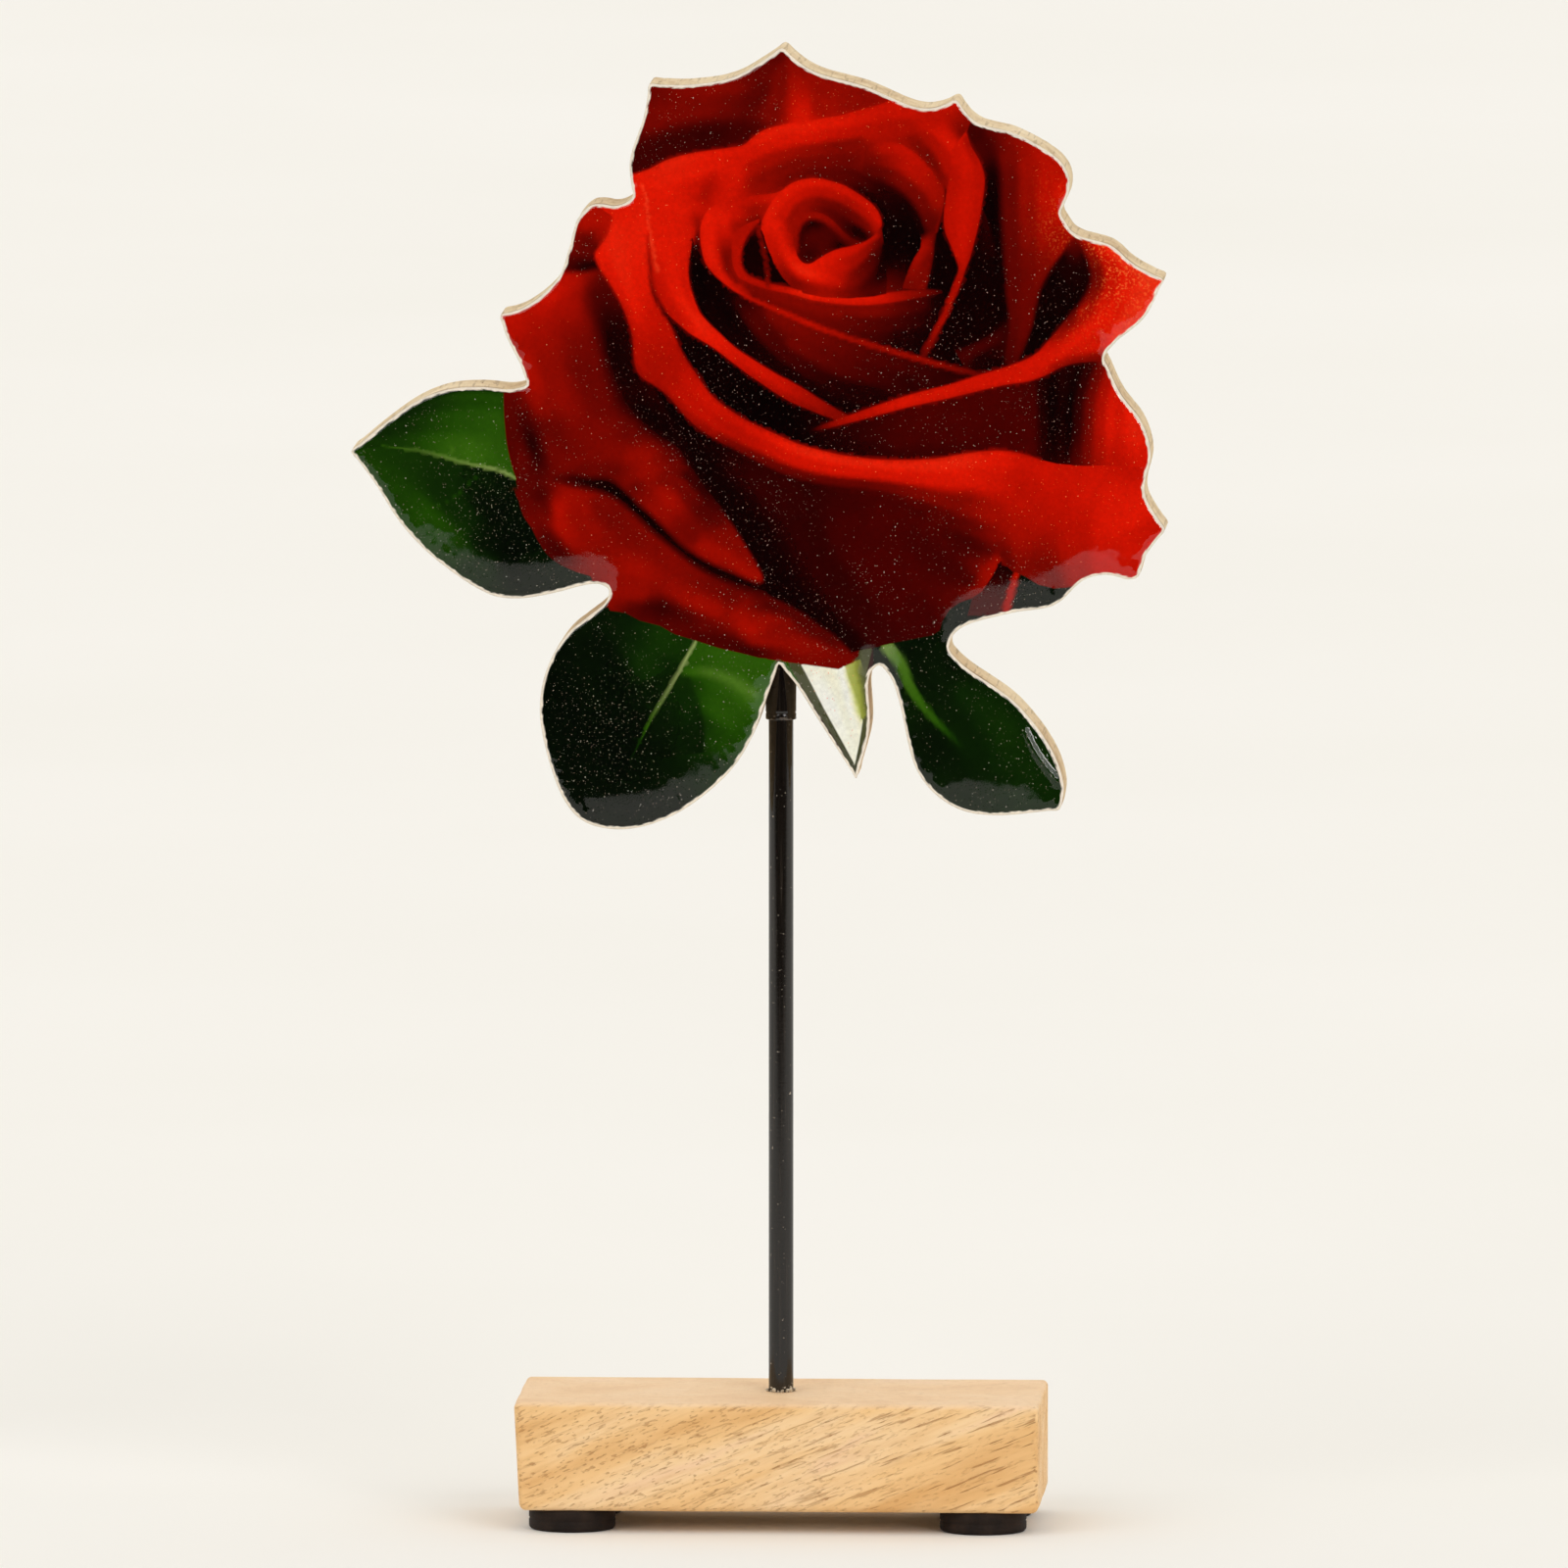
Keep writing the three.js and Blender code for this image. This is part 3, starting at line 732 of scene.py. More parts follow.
# Hollow behind the right petals, then the petal at the back right
petal([(30, 96), (66, 96)],
      [(66, 64), (58.6, 64), (54, 61.8), (48, 59.2), (42, 57.6), (36, 56), (30, 54.5)],
      [[(34, 80, 0.02), (40, 74, 0.03), (42, 62, 0.04)], [(55.4, 78, 0.03), (57, 74, 0.03), (52, 66, 0.01)],
       [(58.8, 87.4, 0.5), (59.4, 85, 0.28), (59.6, 82.6, 0.14), (59.4, 80, 0.06)], [(56.6, 81.6, 0.06)]])
petal([(48, 72.4), (45, 68.8), (42.6, 66.8), (40, 65.2), (37, 63.9), (33, 62.9), (28, 62.3)],
      [(28, 57), (48, 60)],
      [[(46, 69, 0.13), (42, 65.4, 0.18), (36, 62.8, 0.18), (31, 61.8, 0.16)],
       [(45, 64, 0.12), (41, 61.4, 0.06), (45, 61, 0.05)]], soft=1.0)
petal([(61, 88), (58.6, 86), (57.4, 84), (55.6, 81.6), (54, 79), (52.6, 76), (51.8, 73), (51, 69), (50, 66),
       (49, 63.4), (47.4, 60.4), (45.6, 61), (45.8, 64), (46.4, 68), (46.2, 72), (45.2, 78), (43.6, 84),
       (42, 90)], [(36, 104), (36, 114), (64, 114)],
      [[(40, 107, 0.16), (42, 104, 0.18), (43, 100, 0.07), (43, 94, 0.01), (43.4, 86, 0.01),
        (44.6, 78, 0.05)],
       [(46, 103, 0.42), (46.4, 98, 0.36), (46.6, 92, 0.34), (46.8, 84, 0.32), (46.8, 76, 0.3),
        (47.4, 69, 0.28), (46.6, 62, 0.2)],
       [(44, 108, 0.34), (49, 106, 0.58), (53, 103.6, 0.72), (56.6, 100.6, 0.76), (58.4, 98, 0.86)],
       [(50, 101, 0.62), (50, 95, 0.58), (50, 88, 0.5), (50.4, 82, 0.4), (50, 76, 0.36), (49.4, 69, 0.36),
        (48, 63, 0.26)], [(54, 99, 0.78), (54, 93, 0.77), (54, 87, 0.66), (53, 82, 0.48), (52, 78, 0.4)],
       [(57.4, 96, 0.94), (56.6, 91, 0.8), (57, 88, 0.66), (56.4, 84, 0.58)]], soft=0.6)

# Large petal behind the bud
petal([(-31, 96.4), (-28.4, 99), (-26, 100), (-23, 101.6), (-20, 102.6), (-17, 103.3), (-13, 103.9),
       (-9.6, 104.4), (-7, 105), (-5.4, 106.3), (-4, 107.4), (-2, 108.3), (1, 109.1), (5, 109.7),
       (9, 110.4), (12.5, 111), (16, 112), (19, 112.8), (22, 113.9), (27, 117)],
      [(36, 118), (38.8, 110.4), (37.8, 107.6), (38.6, 105), (40.4, 102), (41.4, 98), (36, 90), (20, 80),
       (-16, 80), (-17.4, 86), (-18.2, 80), (-18, 76), (-16, 71), (-24, 71), (-26.6, 80), (-30, 88),
       (-36, 92)],
      [[(-28, 98.2, 1.0), (-22, 101, 1.04), (-14, 102.8, 1.0), (-8, 103.8, 0.94), (-4.6, 105.8, 1.02),
        (0, 107.4, 1.02), (6, 108.4, 1.02), (12, 109.4, 0.96), (18, 110.8, 0.9), (24, 112.2, 0.84),
        (30, 111.4, 0.78)],
       [(-24, 97, 1.02), (-18, 99, 1.02), (-13, 100.6, 1.0), (-8, 101.6, 0.9), (-2, 104.6, 0.92),
        (4, 106.2, 0.94), (10, 106.8, 0.84), (16, 107.6, 0.74), (22, 108.6, 0.7), (27, 108.6, 0.68)],
       [(-9, 100, 0.92), (-9.6, 97, 0.9), (-11.6, 94.2, 0.86)],
       [(-13.8, 98.2, 0.8), (-14.4, 96, 0.66), (-15.4, 94.2, 0.7)],
       [(-5, 101, 0.66), (0, 102.6, 0.62), (6, 103.8, 0.54), (12, 104.8, 0.46), (16, 105.6, 0.46)],
       [(-4, 97.6, 0.5), (0, 99.8, 0.46), (5, 101.4, 0.42), (10, 101.8, 0.4), (14, 101.6, 0.38)],
       [(-3, 95.6, 0.56), (1, 97, 0.42), (5, 99, 0.34), (10, 99.4, 0.3), (14, 98.8, 0.28)],
       [(-31, 95, 0.98), (-24, 93, 0.98), (-19, 92, 0.98)], [(-22, 96, 1.0), (-17, 96, 0.86)],
       [(-24, 87, 0.98), (-21, 82, 0.96), (-20, 76, 1.0)],
       [(-26, 88.6, 0.97), (-22, 89, 0.97), (-18.6, 88.6, 0.92)], [(-17.6, 91.6, 0.9), (-16.4, 89.6, 0.6)],
       [(-19.4, 86, 0.9), (-18.8, 80, 0.86)],
       [(29, 109.4, 0.78), (32.6, 107, 0.9), (35, 104.6, 0.92), (36.4, 100, 0.9)],
       [(27, 106.2, 0.5), (29.6, 103.6, 0.42), (31.6, 100.8, 0.42), (33.2, 97.4, 0.5)],
       [(30.4, 106.4, 0.66), (32.6, 103.4, 0.7), (34, 100, 0.72)],
       [(34.6, 113.4, 0.86), (36, 111, 0.62), (37.4, 108, 0.42)]], soft=0.3)

# Black gap at the right of the bud, then the petal that curls round it
petal([(8, 98.4), (11, 99.2), (14, 99.8), (17, 99.4), (20, 98.2), (23.6, 96.2), (26.6, 93.4), (28.6, 90),
       (29.4, 86.8), (29.2, 84.6), (28, 82), (26.8, 79.6), (26, 77), (25.4, 73)], [(16, 72), (14, 90)],
      [[(9, 98.8, 0.3), (13.4, 98.6, 0.28), (17, 97.4, 0.2), (20.4, 95.4, 0.11), (23.4, 92.4, 0.06),
        (25.2, 89, 0.02), (24.6, 85, 0.01), (24, 81, 0.07), (23, 77.6, 0.22), (21.6, 75.4, 0.36)],
       [(16.6, 96, 0.12), (19.6, 93, 0.05), (21.4, 88, 0.02), (22, 84, 0.02)]], soft=0.8)
petal([(33.6, 97), (33.3, 94), (32.8, 91.4), (32, 88.4), (31.4, 85.6), (31, 82), (30.4, 79), (29.7, 76),
       (29, 72), (30, 66), (31.2, 62)],
      [(33, 62), (33.4, 70), (34.6, 76), (36, 80), (34.6, 86), (33.6, 90)],
      [[(33, 90, 0.02), (33, 80, 0.02), (31, 70, 0.03)]], soft=0.3)
petal([(17.4, 104.8), (19, 105.4), (21, 105.6), (24, 105.4), (26.4, 104.2), (28.4, 102.6), (30.2, 100.6),
       (31.8, 98.4), (33, 96.2), (33.2, 93.6), (32.7, 91), (31.9, 88.4), (31.3, 85.6), (30.9, 82),
       (30.3, 79), (29.6, 76), (29.2, 73.6)],
      [(24.4, 73.6), (25.1, 77), (26, 79.6), (27.2, 82.2), (28.6, 84.4), (28.6, 86.4), (27.8, 88.4),
       (26.8, 90.6), (25.2, 92.8), (22.6, 95.2), (19.8, 97.2), (16.8, 98.8)],
      [[(17.4, 104, 0.46), (17, 102, 0.4), (16.8, 100, 0.32)],
       [(19, 104.4, 0.6), (21, 104.6, 0.74), (24, 104.4, 0.8), (26.6, 102.8, 0.8), (28.8, 100.4, 0.76)],
       [(19, 101.6, 0.42), (22.4, 101.8, 0.6), (25.4, 101, 0.74), (28, 98.6, 0.74), (30.4, 96.6, 0.66),
        (31.6, 94, 0.6)],
       [(17, 100.2, 0.3), (20.6, 99.4, 0.32), (24, 98, 0.42), (27, 95.6, 0.42), (29.2, 92, 0.38),
        (30.2, 89, 0.3)],
       [(16, 98.8, 0.26), (20, 97, 0.14), (23.4, 95, 0.1), (26, 92.4, 0.06), (27.6, 90, 0.05),
        (28.6, 87.6, 0.04)],
       [(31, 86.4, 0.4), (29.4, 85.2, 0.6), (28, 83, 0.64), (26.6, 80.4, 0.56), (25.4, 77, 0.42)],
       [(30.2, 82, 0.42), (29, 78, 0.46), (28, 75.4, 0.44)]], soft=0.35)

# Tapered petal whose edge runs down to a thin line
petal([(37.7, 108), (38.7, 105), (40.4, 102), (41.3, 99.4), (41.4, 97), (40.9, 93), (40.2, 89),
       (39.3, 85.4), (38.5, 82.4), (37.6, 80), (36.8, 77.6), (35.8, 75.4), (34.8, 75.6), (35.6, 78),
       (36.2, 80.2), (35.6, 82.2), (34.5, 85), (33.6, 87.2), (33.2, 89.4), (33.3, 92), (33.7, 95),
       (34.4, 99)], [(34.8, 104)],
      [[(36, 106, 0.88), (37.6, 102, 0.87), (38, 96, 0.84), (37.4, 90, 0.85), (36.8, 84, 0.83),
        (36.9, 80, 0.7)],
       [(38.4, 105.4, 0.6), (40.6, 100.6, 0.74), (40.8, 96, 0.76), (39.8, 89, 0.78), (38.6, 83, 0.7)],
       [(34.8, 98, 0.74), (34.3, 93, 0.74), (34.2, 89, 0.76), (35.2, 84.6, 0.78)],
       [(36.4, 78, 0.66), (34.2, 73, 0.68), (32.2, 68.6, 0.58), (29.6, 63.2, 0.34)]], soft=0.25)

# Dark gap between the bright left petal and the third ring
petal([(-15.6, 91.6), (-16.8, 87), (-17.9, 82), (-18.2, 79), (-17.7, 76), (-16.9, 73.4), (-15.6, 70.6),
       (-12, 67), (-8, 63.4), (-4, 60.8), (0, 58.4), (6, 55.1), (13.5, 50)],
      [(30, 54), (30, 62), (0, 74), (-12, 78), (-15, 84)],
      [[(-15.6, 91, 0.84), (-16, 89, 0.6), (-16.4, 86.6, 0.3), (-16.6, 82, 0.04), (-15, 74, 0.01),
        (-8, 66, 0.02), (2, 58, 0.05), (13, 52, 0.03)]], soft=0.7)

# Third ring: its outer face under a thin rim, and its thick bright rim at the left
petal([(-14, 79), (-10, 76.2), (-6, 74), (-2, 72.4), (2, 70.7), (6, 69), (10, 67.5), (14, 66.1), (18, 64.9),
       (22, 63.7), (26, 62.6), (30, 61.5), (34, 60.4), (38, 59.5), (44, 58.4)],
      [(42, 57.6), (36, 56), (30, 54.5), (24, 52.8), (19, 51.2), (14, 49.8), (6, 54), (0, 58), (-6, 61.6),
       (-12, 66.4), (-15, 72)],
      [[(-13, 76, 0.02), (-10, 70, 0.02), (-5, 64, 0.05), (2, 58.6, 0.07), (10, 53, 0.04), (14, 51, 0.03)],
       [(-7, 72.6, 0.14), (-4, 69.4, 0.24), (-1, 65, 0.2), (5, 60.4, 0.16), (12, 56, 0.09), (20, 54, 0.08)],
       [(-1, 70.6, 0.42), (5, 67.6, 0.4), (11, 65, 0.34), (18, 62.8, 0.26), (26, 60.4, 0.18),
        (34, 58.4, 0.12)], [(3, 64.6, 0.38), (10, 61.4, 0.3), (18, 59, 0.2), (26, 57, 0.12)]], soft=0.15)
petal([(2, 96.4), (-1, 95.2), (-4, 94.8), (-8, 94.3), (-11.6, 93.3), (-14.2, 91.8), (-15.6, 89.2),
       (-15.9, 86.4), (-15.5, 83.4), (-14.9, 81.2), (-13.6, 79.3), (-12, 77.7), (-10, 76), (-8, 74.8),
       (-6, 73.9), (-2, 72.2), (2, 70.5), (6, 68.8), (10, 67.3), (14, 65.9), (18, 64.7), (22, 63.5),
       (26, 62.4), (30, 61.3), (34, 60.2), (38, 59.2)], [(34, 66), (33, 76), (20, 76), (6, 90)],
      [[(-14.4, 90.6, 1.0), (-14.2, 86, 1.0), (-13.4, 82.4, 1.02), (-12, 79.4, 0.96), (-9.6, 76.8, 0.84),
        (-7, 75, 0.74)],
       [(-11.2, 90, 1.0), (-11, 86.6, 0.8), (-10.4, 83, 0.46), (-10.2, 80, 0.44), (-8.6, 77.4, 0.46)],
       [(-12, 92.4, 0.92), (-8, 93.4, 0.78), (-4, 94, 0.78), (0, 94.6, 0.9)],
       [(-8, 91, 0.8), (-5.4, 91.4, 0.58), (-3.6, 92, 0.62)],
       [(-8.4, 88.4, 0.62), (-6.4, 88.8, 0.48), (-4.6, 89.4, 0.4)],
       [(-6, 76.2, 0.42), (-2, 74.6, 0.45), (4, 73, 0.46), (9, 71.9, 0.45), (14, 71.4, 0.45),
        (20, 71.4, 0.42), (24, 72, 0.3), (28, 73, 0.2)],
       [(-5, 74.6, 0.4), (2, 71.6, 0.4), (8, 69.2, 0.36), (13, 67.6, 0.3), (20, 65.8, 0.16), (26, 64, 0.06),
        (31, 62.6, 0.06)], [(14, 69.6, 0.32), (20, 69, 0.23), (26, 69.4, 0.15), (30, 70, 0.1)],
       [(24, 66.4, 0.1), (29, 66, 0.05)], [(33, 75, 0.06), (33.4, 70, 0.03), (34, 64, 0.03)]],
      soft=0.25, blur=0.4)
vein([(-12.4, 78.8, 0.96), (-10.8, 77.2, 0.92), (-8.6, 75.6, 0.86), (-6, 74, 0.78), (-2, 72.3, 0.72),
      (2, 70.6, 0.74)], (0.2, 1.0), soft=0.5)
vein([(2, 70.6, 0.74), (6, 68.9, 0.76), (10, 67.4, 0.7), (14, 66, 0.62), (18, 64.8, 0.6), (22, 63.6, 0.6),
      (26, 62.5, 0.6), (30, 61.4, 0.58), (34, 60.3, 0.5), (38, 59.3, 0.4), (41, 58.6, 0.3)],
     (1.0, 1.1), soft=0.5)
vein([(36.4, 78.4, 0.66), (35, 74.8, 0.68), (33.6, 71.4, 0.66), (32, 68, 0.6), (30.4, 65, 0.48),
      (29.2, 62.8, 0.34)], (1.3, 1.3), soft=0.4)

# Second ring: its rim round the dark wells beside the bud
petal([(-6.4, 89), (-8.4, 87.6), (-9.3, 85.6), (-9.5, 83.4), (-9.4, 81.4), (-8.9, 79.5), (-8, 78.1),
       (-6.4, 77.2), (-4, 76.3), (-2, 75.7), (0, 75.3), (2, 74.9), (4, 74.4), (6, 73.8), (8, 73.4),
       (11, 73), (15, 72.7), (19, 72.8), (23, 73.3), (27, 74), (30, 74.6), (33, 75.4), (30, 75.9),
       (27, 75.8), (22, 75.2), (18, 74.6)], [(10, 75.6), (0, 78), (-4, 90)],
      [[(-7.6, 87.6, 0.68), (-8.6, 84, 0.74), (-8.5, 81, 0.74), (-7.6, 78.8, 0.74), (-5, 77.2, 0.72),
        (-2, 76.3, 0.76), (1, 75.7, 0.86), (4, 75, 1.02), (7, 74.3, 1.0), (10, 73.8, 0.94),
        (15, 73.5, 0.94), (20, 73.6, 0.88), (24, 74.3, 0.66), (29, 75.1, 0.42), (33, 75.5, 0.2)]], soft=0.3)
petal([(-4.4, 89), (-6.2, 86.6), (-7.2, 84.4), (-7.6, 82), (-7.2, 80), (-6.2, 78.7), (-4, 77.7), (-2, 77),
       (0, 76.6), (2, 76.2), (5, 75.4)], [(12, 75), (4, 90), (-2, 90)],
      [[(-5.2, 88.4, 0.3), (-5.4, 86, 0.06), (-5.8, 83, 0.04), (-5, 79.6, 0.05)],
       [(-1.6, 84, 0.08), (-1.4, 80, 0.05), (0, 77.6, 0.03)], [(6, 76, 0.5)]], soft=0.4)
vein([(-4.3, 88.4, 0.55), (-3.4, 85, 0.46), (-2.7, 82, 0.44), (-2.3, 79, 0.42), (-2.2, 76.4, 0.5)],
     (0.6, 0.8), soft=0.4)

# Bud: the back of its mouth, the inner spiral, and the front wall
petal([(-3.6, 88), (-3.4, 89.4), (-2.8, 91), (-1.4, 93.4), (0.4, 95.5), (2, 96.9), (4, 97.8), (6, 98.2),
       (8, 98.2), (10, 97.8), (13, 96.9), (15, 95.8), (17, 94.5), (19, 92.9), (20.2, 91.2), (20.7, 89.6),
       (20.5, 88), (19.4, 86.6)], [(10, 80), (0, 80)],
      [[(-1.4, 91.6, 1.02), (1, 94.8, 0.98), (4, 96.9, 0.96), (8, 97.3, 0.95), (12, 96.2, 0.92),
        (15.6, 94.2, 0.88), (18.6, 91.8, 0.88), (20.1, 89.6, 0.86)],
       [(1.2, 91, 0.82), (3, 94, 0.84), (6, 95.6, 0.8), (10, 95.4, 0.74), (14, 93.6, 0.66),
        (17.4, 91.4, 0.72), (19.4, 89.2, 0.72)],
       [(2.2, 88.6, 0.56), (3.2, 91.4, 0.56), (5.6, 93, 0.54), (9, 93.2, 0.4), (12.4, 92.2, 0.34),
        (15.4, 90.4, 0.34), (17.8, 88.8, 0.42)],
       [(6, 92.2, 0.5), (9.6, 91.8, 0.3), (12.6, 90.2, 0.22), (14.4, 88.6, 0.12), (16, 87.6, 0.05),
        (17.4, 86.4, 0.1)], [(-2.8, 88.6, 0.96), (-0.8, 88.6, 1.0), (0.8, 88.4, 0.86), (2, 88.4, 0.6)]],
      soft=0.25, blur=0.35)
petal([(3, 82), (2.9, 85), (3, 87.4), (3.6, 89.6), (4.9, 90.9), (7, 91.4), (9, 91), (10.6, 90), (12, 88.6),
       (13.4, 87.2), (15, 86), (17, 85.4)], [(16, 82), (6, 79)],
      [[(3.3, 84, 0.5), (3.3, 86.4, 0.54), (3.8, 88.8, 0.58), (5.1, 90.3, 0.6), (7.2, 90.8, 0.6),
        (9.2, 90.3, 0.58), (11, 88.9, 0.52), (12.8, 87.1, 0.4), (14.8, 85.8, 0.3)],
       [(4.6, 83, 0.16), (4.7, 87, 0.14), (6.2, 89, 0.1), (8, 88.9, 0.12), (9.8, 87.8, 0.2),
        (11.6, 86.2, 0.16)], [(6, 83, 0.14), (7.4, 86, 0.22), (9.4, 85.6, 0.22), (12.4, 84.8, 0.08)]],
      soft=0.25, blur=0.25)
petal([(2, 88.4), (2.6, 86.6), (3.2, 84.4), (3.9, 82.2), (5, 81.1), (6.3, 81), (8, 82), (10, 83.2),
       (12, 84), (15, 84.7), (17.4, 85.6), (19, 86.7), (20.6, 88.6)],
      [(21, 86), (21.4, 82), (21.8, 78), (21.6, 75), (19, 74.4), (14, 74), (9, 74.2), (5, 75), (2.4, 76.4),
       (0.8, 78.1), (-0.4, 80), (-1.4, 82), (-2.2, 84), (-3, 86.4), (-3.6, 88.6)],
      [[(-2.8, 88.6, 0.96), (-1.6, 85, 0.82), (-0.2, 81.6, 0.74), (1.4, 78.8, 0.5), (3.6, 76.8, 0.44)],
       [(-0.8, 88.6, 1.0), (0.8, 85.4, 0.94), (2.2, 82, 1.0), (4.4, 79.6, 1.06), (8, 78.4, 1.02),
        (12, 77.2, 0.8)],
       [(5.6, 80.6, 1.02), (9, 82, 0.94), (12.6, 83.4, 0.88), (16, 84.5, 0.82), (19.4, 86.5, 0.74)],
       [(12, 80.6, 0.82), (14.6, 81.4, 0.66), (17, 83, 0.56), (19, 85, 0.46)],
       [(14.6, 77.4, 0.5), (17, 79.8, 0.32), (19.2, 82.6, 0.22), (20.6, 86, 0.3)],
       [(17, 76, 0.24), (19.6, 78, 0.12), (21, 81, 0.05), (21.2, 84.6, 0.05)],
       [(5, 76, 0.5), (10, 75.4, 0.6), (14, 75.2, 0.42), (18, 74.8, 0.24)],
       [(0.8, 88.4, 0.86), (1.6, 86, 0.8)], [(2, 88.4, 0.6), (2.8, 85, 0.64)]], soft=0.2, blur=0.35)

# Second bright petal from the left, down to where the rims meet
petal([(-19.2, 88), (-18.8, 84), (-18.5, 80.4), (-18.2, 78), (-17.6, 75.4), (-16.8, 73), (-15.8, 70.9),
       (-14, 68.8), (-12, 66.9), (-10, 65), (-8, 63.4), (-6, 62.1), (-4, 60.8), (-2, 59.6), (0, 58.4),
       (2, 57.4), (4, 56.3), (6, 55.1), (8, 53.8), (10, 52.6), (12, 51.4), (14, 50.2), (12, 49.3), (10, 50),
       (8, 50.7), (6, 51.5), (4, 52.3), (2, 53.2), (0, 54.4), (-2, 55.7), (-4, 57.1), (-6, 58.4),
       (-8, 59.9), (-10, 61.4), (-12, 63), (-14, 64.4), (-16, 65.6), (-18, 66.8), (-20, 68.5), (-22, 70.3),
       (-24, 72.6), (-25.4, 75.6), (-26, 79)], [(-26, 88.6), (-22, 89)],
      [[(-26, 88.6, 0.97), (-22, 89, 0.97), (-18.6, 88.6, 0.92)],
       [(-21.6, 84, 0.98), (-21, 78, 1.0), (-19.4, 73.6, 1.02), (-16.4, 69.2, 1.04), (-13, 66, 1.0),
        (-9, 62.6, 0.9), (-4, 59.2, 0.88), (1, 55.8, 0.82), (6, 53, 0.66), (11, 50.6, 0.5)],
       [(-19.4, 82, 0.9), (-18.6, 77, 0.9), (-16.6, 72.2, 0.94)],
       [(-24.6, 80, 0.92), (-24, 75, 0.8), (-22, 71.6, 0.8), (-19, 68.6, 0.86)],
       [(-8, 60.6, 0.8), (0, 55, 0.68), (7, 51.6, 0.52)]], soft=0.25)

# Right petal with the tip, whose rim runs down to the same place
petal([(59.4, 88.4), (59.8, 86), (60.4, 83.6), (61.4, 81.2), (61.8, 78.8), (61.4, 76.2), (60.4, 73.8),
       (58.8, 71.4), (57, 69), (55.4, 67), (53.8, 65.2), (52.2, 63.4), (50, 62), (46, 60.4), (42, 59.2),
       (38, 57.9), (34, 56.6), (30, 55.6), (26, 54.5), (22, 53.2), (18, 51.8), (15, 50.7), (12.5, 49.8),
       (10, 48.9), (6.2, 47.2), (10, 47.8), (14, 48.8), (18, 49.9), (22, 51), (26, 52.1), (30, 53),
       (34, 53.9), (38, 54.9), (42, 55.9), (46, 56.8), (50, 57.4), (54, 58.8), (57, 60.4), (60, 61.2),
       (65, 61.6)], [(90, 60), (90, 92), (60, 92)],
      [[(59.6, 87.6, 0.6), (60, 85.6, 0.36), (60.8, 83, 0.1), (61.8, 79, 0.04), (61.4, 76.2, 0.06),
        (60.2, 73.6, 0.1), (58.6, 71, 0.3), (56, 67.4, 0.56)],
       [(61.4, 87, 0.76), (62.6, 83.6, 0.54), (64, 80, 0.4), (64, 77.2, 0.42), (62.8, 74.4, 0.5),
        (60.8, 71.6, 0.7)],
       [(63.4, 86, 0.96), (65.6, 83, 0.92), (66.8, 80, 0.86), (66.8, 76.6, 0.86), (65, 73, 0.96)],
       [(66, 84.4, 1.1), (70, 81.6, 1.12), (74.6, 78.4, 1.14), (72, 75, 1.08)],
       [(70, 77.6, 1.04), (67, 72, 1.0), (63, 68, 1.0), (58.6, 64.6, 0.98), (54, 61.8, 0.92),
        (48, 59.2, 0.9), (42, 57.6, 0.88), (36, 56, 0.9), (30, 54.5, 0.92), (24, 52.8, 0.92),
        (19, 51.2, 0.82), (14, 49.7, 0.7), (10, 48.4, 0.5), (6.6, 47.2, 0.1)],
       [(73, 73.6, 1.12), (70, 69, 1.1), (67.6, 65.6, 1.08), (66, 63, 0.8)],
       [(65, 62, 0.4), (60, 61.4, 0.5), (56, 60, 0.6)], [(60, 64, 0.88), (64, 65, 0.94)]], soft=0.3)

